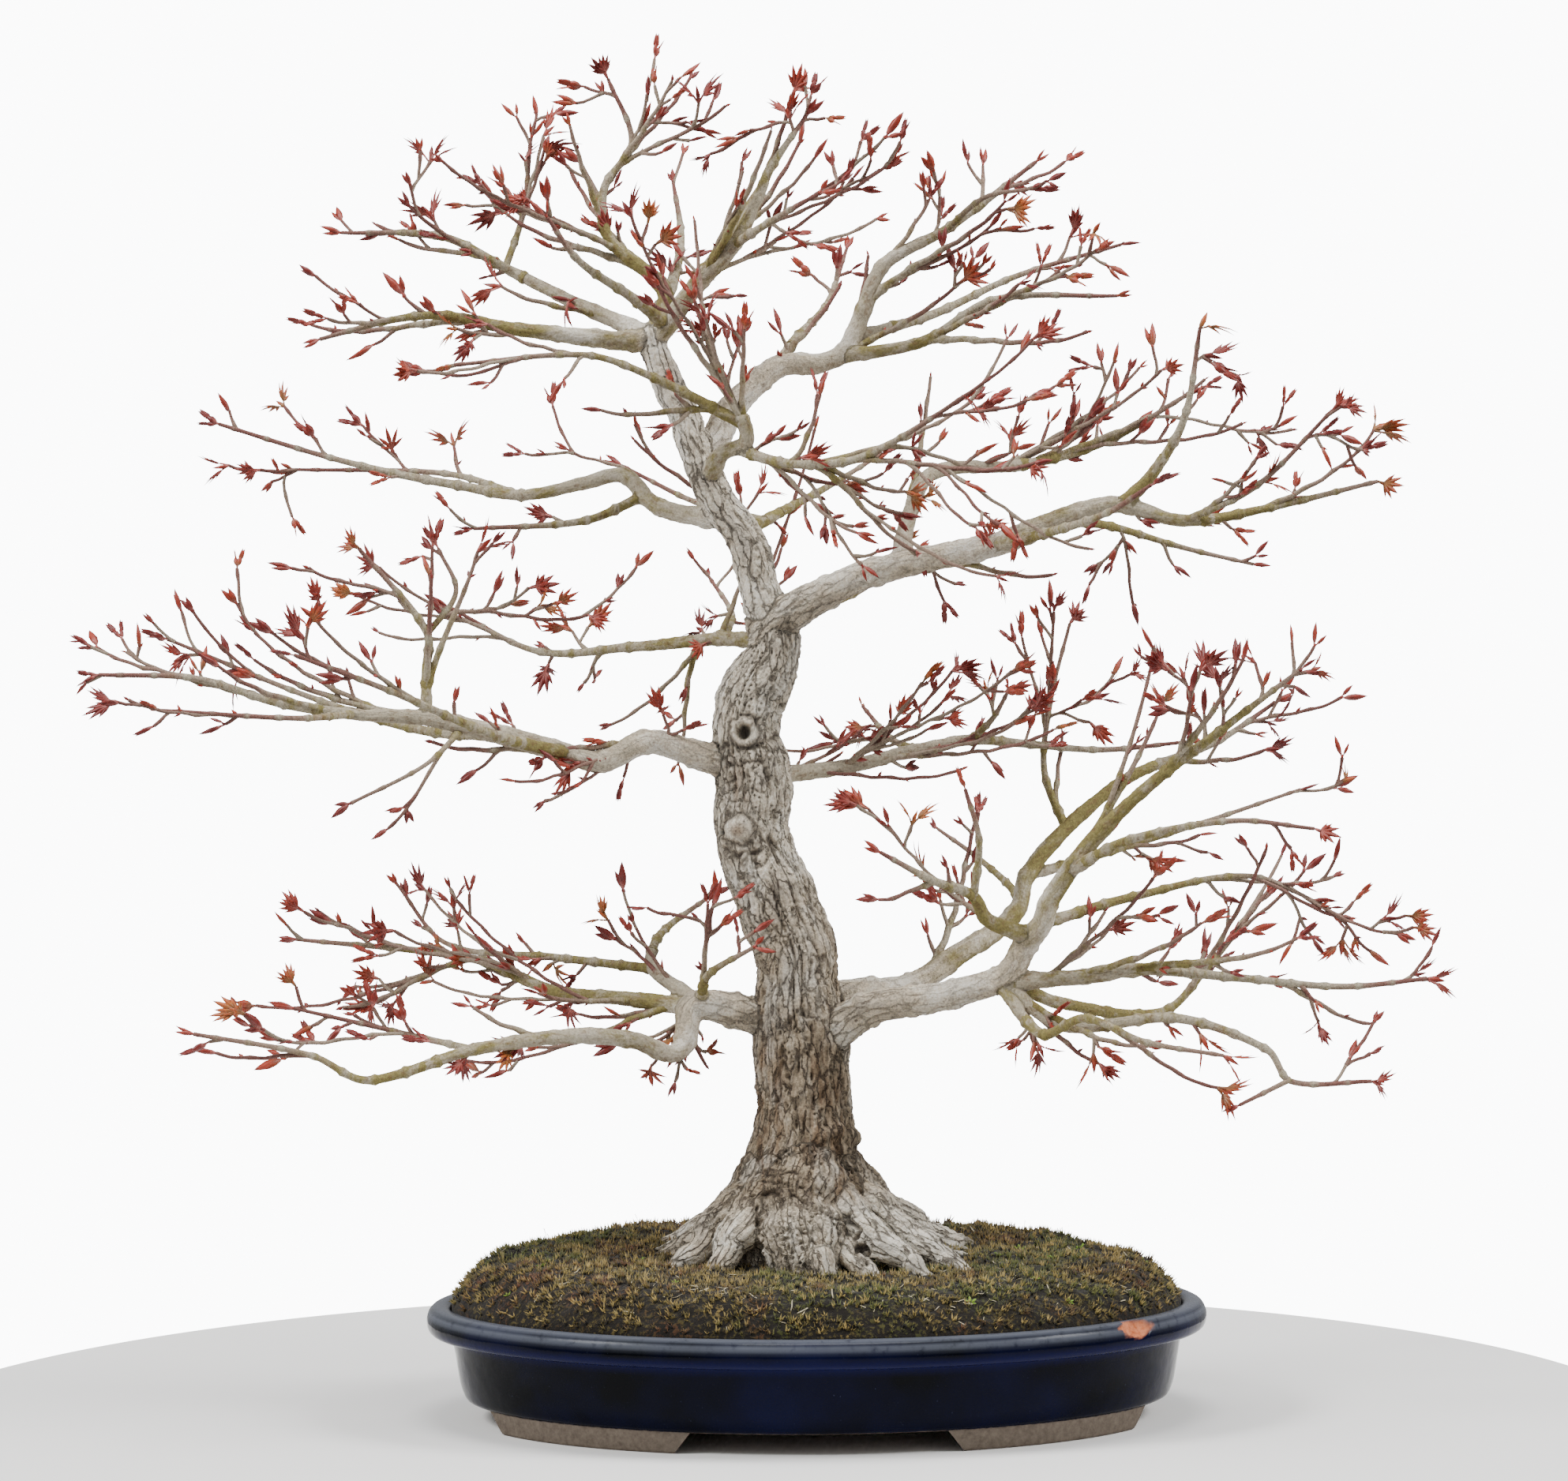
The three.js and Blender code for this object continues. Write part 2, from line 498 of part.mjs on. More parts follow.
addPiece(tree, "pot", makePot(), 0x10142e, 0.18);
[["left", -1], ["right", 1]].forEach(([word, side]) => {
  addPiece(tree, `drain_screen_${word}`, makeScreen((side * drainSpacing) / 2), 0x1c1c1a, 0.6);
  addPiece(tree, `screen_staple_${word}`, makeStaple((side * drainSpacing) / 2), 0x8a6a4a, 0.4, 1);
});
addPiece(tree, "soil", wholeOf(soil), 0x4a3524, 0.95);
addPiece(tree, "moss", wholeOf(moss), 0x4b4423, 1);
addPiece(tree, "wood", makeWood(), 0xb9ab97, 0.85);
leafTips.forEach((tip, i) => {
  addPiece(tree, `leaf_pair_${String(i + 1).padStart(2, "0")}`, makeLeafPair(tip), 0xa8322a, 0.6);
});

// The origin goes under the middle of the whole.
const box = new THREE.Box3().setFromObject(tree);
const middle = box.getCenter(new THREE.Vector3());
tree.position.set(-middle.x, -middle.y, -box.min.z);

const bonsai = new THREE.Group();
bonsai.add(tree);
export default bonsai;
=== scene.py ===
# Looks of a Japanese maple bonsai in spring bud, in an oval cobalt-glazed pot.
import math
import random
from functools import partial

import bmesh
import bpy
import numpy as np
from mathutils import Matrix, Vector, noise


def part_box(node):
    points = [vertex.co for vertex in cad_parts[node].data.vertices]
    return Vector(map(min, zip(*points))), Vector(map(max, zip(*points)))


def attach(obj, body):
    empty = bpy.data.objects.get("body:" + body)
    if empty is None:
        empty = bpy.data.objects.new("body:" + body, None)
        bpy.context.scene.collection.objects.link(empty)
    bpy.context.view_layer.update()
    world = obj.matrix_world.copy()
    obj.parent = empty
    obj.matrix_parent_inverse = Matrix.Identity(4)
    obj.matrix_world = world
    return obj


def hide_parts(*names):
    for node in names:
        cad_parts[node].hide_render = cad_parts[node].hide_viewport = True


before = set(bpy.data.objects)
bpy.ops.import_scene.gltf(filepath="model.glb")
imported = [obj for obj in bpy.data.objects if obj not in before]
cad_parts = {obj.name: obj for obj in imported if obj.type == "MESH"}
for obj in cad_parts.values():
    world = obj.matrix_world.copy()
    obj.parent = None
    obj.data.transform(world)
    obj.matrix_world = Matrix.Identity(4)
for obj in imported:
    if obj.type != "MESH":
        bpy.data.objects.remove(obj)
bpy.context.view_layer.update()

mm = 0.001
potLow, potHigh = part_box("pot")
potMiddle = Vector(((potLow[0] + potHigh[0]) / 2, (potLow[1] + potHigh[1]) / 2, 0))
potHalf = ((potHigh[0] - potLow[0]) / 2 / mm, (potHigh[1] - potLow[1]) / 2 / mm)
leafNodes = sorted(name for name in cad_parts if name.startswith("leaf_pair"))

# The tree is laid out in millimetres on the front elevation, as the eye sees it from here.
eye = {"x": -13.8, "z": 340.7, "distance": 2108, "tilt": 0.009, "focal": 95.53}


# Colours, materials and node trees

def linear(hexCode):
    parts = [int(hexCode[i:i + 2], 16) / 255 for i in (1, 3, 5)]
    return (*[c / 12.92 if c <= 0.04045 else ((c + 0.055) / 1.055) ** 2.4 for c in parts], 1.0)


# Plain words for the nodes that are used most, with the settings that go with them.
nodeKinds = {
    "times": ("ShaderNodeMath", {"operation": "MULTIPLY"}),
    "plus": ("ShaderNodeMath", {"operation": "ADD"}),
    "minus": ("ShaderNodeMath", {"operation": "SUBTRACT"}),
    "larger": ("ShaderNodeMath", {"operation": "MAXIMUM"}),
    "between": ("ShaderNodeMapRange", {"interpolation_type": "SMOOTHSTEP"}),
    "mix": ("ShaderNodeMix", {"data_type": "RGBA"}),
    "noise": ("ShaderNodeTexNoise", {}),
    "stretch": ("ShaderNodeMapping", {}),
    "ramp": ("ShaderNodeValToRGB", {}),
    "bump": ("ShaderNodeBump", {}),
    "read": ("ShaderNodeAttribute", {}),
    "coords": ("ShaderNodeTexCoord", {}),
}


# Links a socket to another one, or sets its value. A hex colour is turned to linear on the way.
def feed(socket, value):
    if isinstance(value, bpy.types.NodeSocket):
        socket.id_data.links.new(value, socket)
    elif value is not None:
        socket.default_value = linear(value) if str(value)[:1] == "#" else value


# Adds a node and gives back its first usable output, or the one named. Values go to the usable inputs in
# order, capitalised names are inputs too, and other names are settings.
def addNode(tree, kind, *values, out=None, stops=(), **named):
    kind, settings = nodeKinds.get(kind, (kind, {}))
    node = tree.nodes.new(kind)
    for name, value in {**settings, **named}.items():
        if name[0].islower():
            setattr(node, name, value)
    usable = [socket for socket in node.inputs if socket.enabled]
    for socket, value in [*zip(usable, values), *((socket, named.get(socket.name)) for socket in usable)]:
        feed(socket, value)
    if stops:
        elements = node.color_ramp.elements
        while len(elements) < len(stops):
            elements.new(0.5)
        for element, (position, colour) in zip(elements, stops):
            element.position = position
            element.color = linear(colour)
    return next((socket for socket in node.outputs if socket.enabled and out in (None, socket.name)), None)


def startMaterial(name):
    material = bpy.data.materials.new(name)
    material.use_nodes = True
    tree = material.node_tree
    return material, partial(addNode, tree), tree.nodes["Principled BSDF"].inputs


# Lays colours over a base, each through its mask and at its strength.
def layOver(add, base, layers):
    for mask, strength, colour in layers:
        base = add("mix", add("times", mask, strength), base, colour)
    return base


def finishMaterial(shader, values):
    for name, value in values.items():
        feed(shader[name], value)


# Living bark of a maple: thin, dry and matte. Cream cork over grey, split by dark fissures on old wood, their
# dark partly the bark's own and partly painted shade.
# Shoots of two and three years are olive, and last year's are brown and a little waxy.
bark = {
    "cream": "#C0B199", "grey": "#83786A", "brown": "#6A5038", "fissure": "#1F160F", "pale": "#EAE4D8",
    "olive": "#807749", "shoot": "#9A8C7D", "tip": "#77504A", "stain": "#1C1610", "chalk": "#A9A18F",
    "shade": "#706354", "oldSpecks": [(0.34, "#5F574B"), (0.64, "#FBF6EC")],
    "youngSpecks": [(0.3, "#6E6558"), (0.7, "#F4EEE2")], "crack": 4.5, "crackLong": 0.28, "crackWander": 3,
}

# Patterns of the bark: how much it is drawn out along the wood, its size in millimetres, detail, roughness
# and distortion.
barkGrain = {
    "patch": (0.45, 14, 5, 0.6, 0), "streak": (0.12, 7, 3, 0.55, 0), "ridge": (0.3, 3.2, 4, 0.7, 0.6),
    "speck": (1, 1.2, 3, 0.7, 0), "chalk": (0.5, 6, 4, 0.65, 0), "rind": (0.6, 2.6, 3, 0.6, 0),
    "wander": (1, 5, 3, 0.6, 0),
}


def makeBark():
    material, add, shader = startMaterial("mapleBark")
    place = add("read", attribute_name="barkPlace", out="Vector")
    girth, tone, faded, wash, fissure, clear, stain = (
        add("read", attribute_name=name, out="Fac")
        for name in ("girth", "tone", "faded", "wash", "fissure", "clear", "stain"))
    grain = {}
    for name, (along, size, detail, rough, warp) in barkGrain.items():
        stretched = add("stretch", place, Scale=(1, 1, along))
        grain[name] = add("noise", stretched, 1 / size, detail, rough, Distortion=warp)
    # Old wood: patched and streaked, with plates that part along warped cell edges.
    oldWood = add("times", add("between", girth, 7, 15), 0.4)
    wash = add("larger", wash, add("times", add("between", grain["streak"], 0.56, 0.7), oldWood))
    warped = add("ShaderNodeVectorMath", add("stretch", place, Scale=(1, 1, bark["crackLong"])),
                 add("stretch", grain["wander"], Scale=(bark["crackWander"],) * 3), operation="ADD")
    cells = add("ShaderNodeTexVoronoi", warped, Scale=1 / bark["crack"], feature="DISTANCE_TO_EDGE")
    plates = add("times", add("between", cells, 0.11, 0.02), add("between", grain["ridge"], 0.68, 0.44))
    sound = add("minus", 0.85, add("times", clear, 0.85))
    # Cracks are painted near black: partly the bark's own dark, partly painted shade in them.
    crack = add("larger", fissure, add("times", plates, sound))
    crack = add("times", crack, add("between", girth, 3.5, 13))
    pits = add("times", add("between", grain["ridge"], 0.5, 0.32), add("between", girth, 3, 11))
    base = add("ramp", grain["patch"],
               stops=[(0.32, bark["grey"]), (0.46, bark["cream"]), (0.62, bark["pale"])])
    # Paler up the bole and on the flare, with painted key light on the right of the flare; where the bark is
    # not pale, painted shade darkens it, most on the lower bole.
    base = layOver(add, base, [
        (faded, 0.48, bark["pale"]), (add("minus", 1.0, faded, use_clamp=True), 0.5, bark["shade"]),
        (wash, 0.7, bark["brown"]), (add("times", pits, sound), 0.4, bark["brown"]),
        (crack, 0.9, bark["fissure"])])
    specks = add("ramp", grain["speck"], stops=bark["oldSpecks"])
    base = add("mix", 0.45, base, specks, blend_type="OVERLAY")
    # Young wood: olive skin with chalky patches, brown towards the tips.
    chalky = add("between", add("plus", grain["chalk"], add("times", tone, 0.4)), 0.52, 0.8)
    young = add("mix", chalky, bark["olive"], bark["chalk"])
    young = layOver(add, young, [(add("between", grain["rind"], 0.5, 0.34), 0.5, bark["brown"])])
    shoots = add("mix", add("between", tone, 0.15, 0.75), bark["shoot"], bark["tip"])
    young = add("mix", add("between", girth, 1.9, 1.15), young, shoots)
    specks = add("ramp", grain["speck"], stops=bark["youngSpecks"])
    young = add("mix", 0.4, young, specks, blend_type="OVERLAY")
    reach = add("plus", girth, add("times", add("minus", grain["patch"], 0.5), 8))
    base = add("mix", add("between", reach, 3.8, 6.6), young, base)
    # Near-black stain and painted shade: darker spots on the bole and low on the flare, and painted shade in
    # the wound's hollow.
    base = layOver(add, base, [(stain, 0.85, bark["stain"])])
    height = add("plus", add("times", grain["speck"], 0.35), add("times", grain["ridge"], 0.9))
    height = add("minus", height, add("times", crack, 1.1))
    finishMaterial(shader, {"Base Color": base, "Roughness": 0.8, "Specular IOR Level": 0.25,
                            "Normal": add("bump", Height=height, Strength=1.0, Distance=1.7 * mm)})
    return material


# Cobalt glaze over stoneware: a deep glossy glass layer that breaks paler and greyer where it runs thin
# at the rim, a grey that is partly a painted highlight. The feet and the chip show the bare clay, dry and
# matte.
glaze = {
    "deep": "#010206", "blue": "#050828", "thin": "#5E626C", "speck": "#3E445C", "groove": "#080B38",
    "footClay": [(0.3, "#544B42"), (0.7, "#6F655A")], "chipClay": [(0.3, "#A85B38"), (0.7, "#CF8560")],
    "footTop": 10.6, "grooveFoot": (38, 43), "grooveTop": (50, 46),
    "grain": [(45, 3, 0.5), (5, 4, 0.6), (1.4, 2, 0.5), (3, 5, 0.7), (2.5, 4, 0.6)],
}


def makeGlaze():
    material, add, shader = startMaterial("cobaltGlaze")
    place = add("stretch", add("coords", out="Object"), Scale=(1 / mm, 1 / mm, 1 / mm))  # in millimetres
    pools, wander, specks, footGrain, chipGrain = (
        add("noise", place, 1 / size, detail, rough) for size, detail, rough in glaze["grain"])
    thin, chip = (add("read", attribute_name=name, out="Fac") for name in ("thin", "chip"))
    # The paler grey at the rim is partly thin glaze and partly a painted highlight.
    thin = add("times", thin, add("between", wander, 0.05, 0.5))
    height = add("plus", add("ShaderNodeSeparateXYZ", place, out="Z"), add("times", wander, 1.2))
    groove = add("times", add("between", height, *glaze["grooveFoot"]),
                 add("between", height, *glaze["grooveTop"]))
    bare = add("between", height, glaze["footTop"] + 0.9, glaze["footTop"] + 0.3)
    base = add("ramp", pools, stops=[(0.35, glaze["deep"]), (0.75, glaze["blue"])])
    base = layOver(add, base, [
        (thin, 0.85, glaze["thin"]), (add("between", specks, 0.72, 0.8), 0.4, glaze["speck"]),
        (groove, 0.7, glaze["groove"]), (bare, 1.0, add("ramp", footGrain, stops=glaze["footClay"])),
        (chip, 1.0, add("ramp", chipGrain, stops=glaze["chipClay"]))])
    dry = add("larger", bare, chip)
    rough = add("plus", add("times", dry, 0.65), add("times", thin, 0.15))
    ripple = add("plus", add("times", specks, dry), wander)
    finishMaterial(shader, {"Base Color": base, "Roughness": add("plus", rough, 0.12), "IOR": 1.4,
                            "Specular IOR Level": 0.09,
                            "Normal": add("bump", Height=ripple, Strength=0.25, Distance=0.4 * mm)})
    return material


# Moss: a damp mat of tiny upright stems. Matte, with a faint sheen from the leaf tips.
moss = {"olive": "#5B5226", "rust": "#6A4329", "gold": "#B89D5C", "dark": "#120D07", "green": "#525F28",
        "straw": "#C4B99B", "weed": "#7C9A34"}


# Painted shade darkens the mat between its stems and every stem towards its foot; the tips keep their own
# colour.
def makeMoss(name):
    material, add, shader = startMaterial(name)
    place = add("stretch", add("coords", out="Object"), Scale=(1 / mm, 1 / mm, 1 / mm))  # in millimetres
    broad = add("noise", place, 1 / 22, 5, 0.7)
    fine = add("noise", place, 1 / 2.2, 4, 0.7)
    green = add("noise", add("stretch", place, Scale=(1, 1, 0.2)), 1 / 48, 3, 0.6)
    tint, reach = (add("read", attribute_name=name, out="Fac") for name in ("tint", "reach"))
    # Painted shade: dark in the mat, at the foot of every stem and in the low parts of the fine relief.
    shade = add("plus", add("between", fine, 0.62, 0.38), add("between", tint, 0.4, 0.05))
    shade = add("times", add("times", shade, 0.95), add("between", reach, 1.0, 0.2))
    shade = add("plus", shade, add("times", add("between", reach, 0.5, 0.0), 0.45), use_clamp=True)
    base = add("ramp", broad, stops=[(0.36, moss["rust"]), (0.52, moss["olive"]), (0.72, moss["gold"])])
    base = layOver(add, base, [
        (add("between", green, 0.5, 0.62), 0.75, moss["green"]),
        (add("between", tint, 0.5, 0.85), 0.75, moss["gold"]),
        (shade, 1.0, moss["dark"]), (add("between", tint, 0.86, 0.9), 1.0, moss["straw"]),
        (add("between", tint, 0.94, 0.97), 1.0, moss["weed"])])
    finishMaterial(shader, {"Base Color": base, "Roughness": 0.9, "Specular IOR Level": 0.2,
                            "Sheen Weight": 0.12,
                            "Normal": add("bump", Height=fine, Strength=0.8, Distance=1.2 * mm)})
    return material


# Young maple leaf and bud scale: thin, slightly waxy skin, crimson with a paler, orange base.
leaf = {"crimson": "#74201A", "red": "#A03A26", "orange": "#B86030", "pink": "#B8706A", "olive": "#7A6C2A",
        "edge": "#5E1C16", "mottle": [(0.3, "#5A4A40"), (0.7, "#E8D8C8")], "mottleSize": 1.6}


def makeLeafSkin():
    material, add, shader = startMaterial("youngLeafSkin")
    reach, tint = (add("read", attribute_name=name, out="Fac") for name in ("reach", "tint"))
    olive = add("times", add("between", tint, 0.55, 0.9), add("between", reach, 0.6, 0.15))
    base = add("mix", add("between", tint, 0.1, 0.75), leaf["crimson"], leaf["red"])
    base = layOver(add, base, [
        (add("between", tint, 0.78, 0.98), 1.0, leaf["orange"]),
        (add("between", reach, 0.4, 0.02), 1.0, leaf["pink"]),
        (add("between", reach, 0.75, 1.0), 1.0, leaf["edge"]), (olive, 0.6, leaf["olive"])])
    mottle = add("noise", add("coords", out="Object"), 1 / (leaf["mottleSize"] * mm), 3, 0.6)
    base = add("mix", 0.4, base, add("ramp", mottle, stops=leaf["mottle"]), blend_type="OVERLAY")
    finishMaterial(shader, {"Base Color": base, "Roughness": 0.45, "Subsurface Weight": 0.12,
                            "Subsurface Radius": (0.002, 0.0008, 0.0005), "Subsurface Scale": 0.5})
    return material


def makePlain(name, low, high, size, roughness, metallic=0.0, bump=0.3):
    material, add, shader = startMaterial(name)
    grain = add("noise", add("coords", out="Object"), 1 / (size * mm), 5, 0.65)
    finishMaterial(shader, {"Base Color": add("ramp", grain, stops=[(0.3, low), (0.7, high)]),
                            "Roughness": roughness, "Metallic": metallic,
                            "Normal": add("bump", Height=grain, Strength=bump, Distance=0.5 * mm)})
    return material


# The tree's frame, repeated from the construction: across, back, up, radius, all in millimetres.

trunk = [
    (0, -4, 40, 34), (0, -4, 62, 46), (-1, -4, 78, 47), (-2, -2, 94, 42), (-3, 0, 109, 36), (-5, 0, 124, 30),
    (-3, 0, 140, 27), (-3, 0, 156, 24.4), (-4, 0, 172, 24.4), (-5, 0, 190, 25), (-7, 0, 206, 22.6),
    (-7, 1, 220, 20.2), (-7, 2, 230, 20.8), (-10, 3, 241, 20.4), (-15, 4, 252, 20.4), (-19, 4, 264, 20.4),
    (-25, 4, 278, 19.4), (-29, 3, 290, 18.8), (-30, 2, 303, 19.4), (-29, 0, 318, 19.4), (-31, -1, 330, 19),
    (-33, -2, 341, 16.8), (-33, -2, 352, 16.4), (-30, -2, 364, 17), (-25, -3, 374, 16.2),
    (-20, -5, 385, 13.4), (-19, -6, 396, 12.6), (-24, -6, 409, 11.2), (-28, -6, 422, 9.8),
    (-31, -7, 436, 10.2), (-36, -8, 447, 9.4), (-44, -9, 457, 9), (-50, -10, 467, 8.5), (-55, -11, 478, 8.6),
    (-60, -12, 492, 8.4), (-65, -12, 507, 8), (-72, -12, 520, 7.8), (-77, -12, 533, 7.2),
    (-81, -12, 545, 6.6),
]

# Roots on the front and the sides of the flare, from the left round to the right, then two knobs.
flare = [
    [(-20, 6, 126, 12), (-35, 6, 108, 11), (-51, 4, 90, 9.5), (-66, 2, 82, 6), (-79, -2, 77, 3.2)],
    [(-18, -6, 130, 13), (-31, -14, 111, 11.5), (-47, -24, 97, 9.5), (-55, -31, 84, 7.5), (-67, -36, 74, 5),
     (-75, -45, 65, 3)],
    [(-16, -16, 122, 13), (-27, -30, 106, 11), (-38, -42, 89, 9.5), (-45, -53, 75, 6.6), (-54, -59, 63, 3.6)],
    [(-3, -18, 124, 18), (-4, -30, 106, 22), (-4, -42, 90, 22), (-4, -49, 74, 20), (-4, -52, 56, 16)],
    [(0, -56, 84, 5), (4, -64, 77, 7.5), (7, -68, 69, 6.5), (8, -70, 60, 4)],
    [(16, -50, 84, 6), (23, -61, 76, 5.5), (30, -66, 68, 4.4), (34, -71, 61, 3)],
    [(8, -24, 118, 10), (21, -39, 100, 10), (34, -53, 86, 8), (51, -60, 76, 5.6), (58, -68, 69, 4),
     (70, -71, 62, 3)],
    [(14, -8, 124, 11), (31, -20, 104, 10.5), (47, -32, 89, 9.5), (63, -37, 79, 6.8), (75, -46, 72, 5.2),
     (93, -49, 63, 3)],
    [(16, 4, 120, 11), (34, 2, 100, 10.5), (52, -2, 85, 9), (69, -5, 79, 6), (84, -11, 75, 3.8),
     (97, -13, 69, 2.7)],
]

# Roots behind: bearing in degrees, reach and radius.
roots = [(24, 80, 11), (50, 74, 12), (80, 70, 11), (107, 68, 12), (134, 72, 11), (160, 76, 10)]

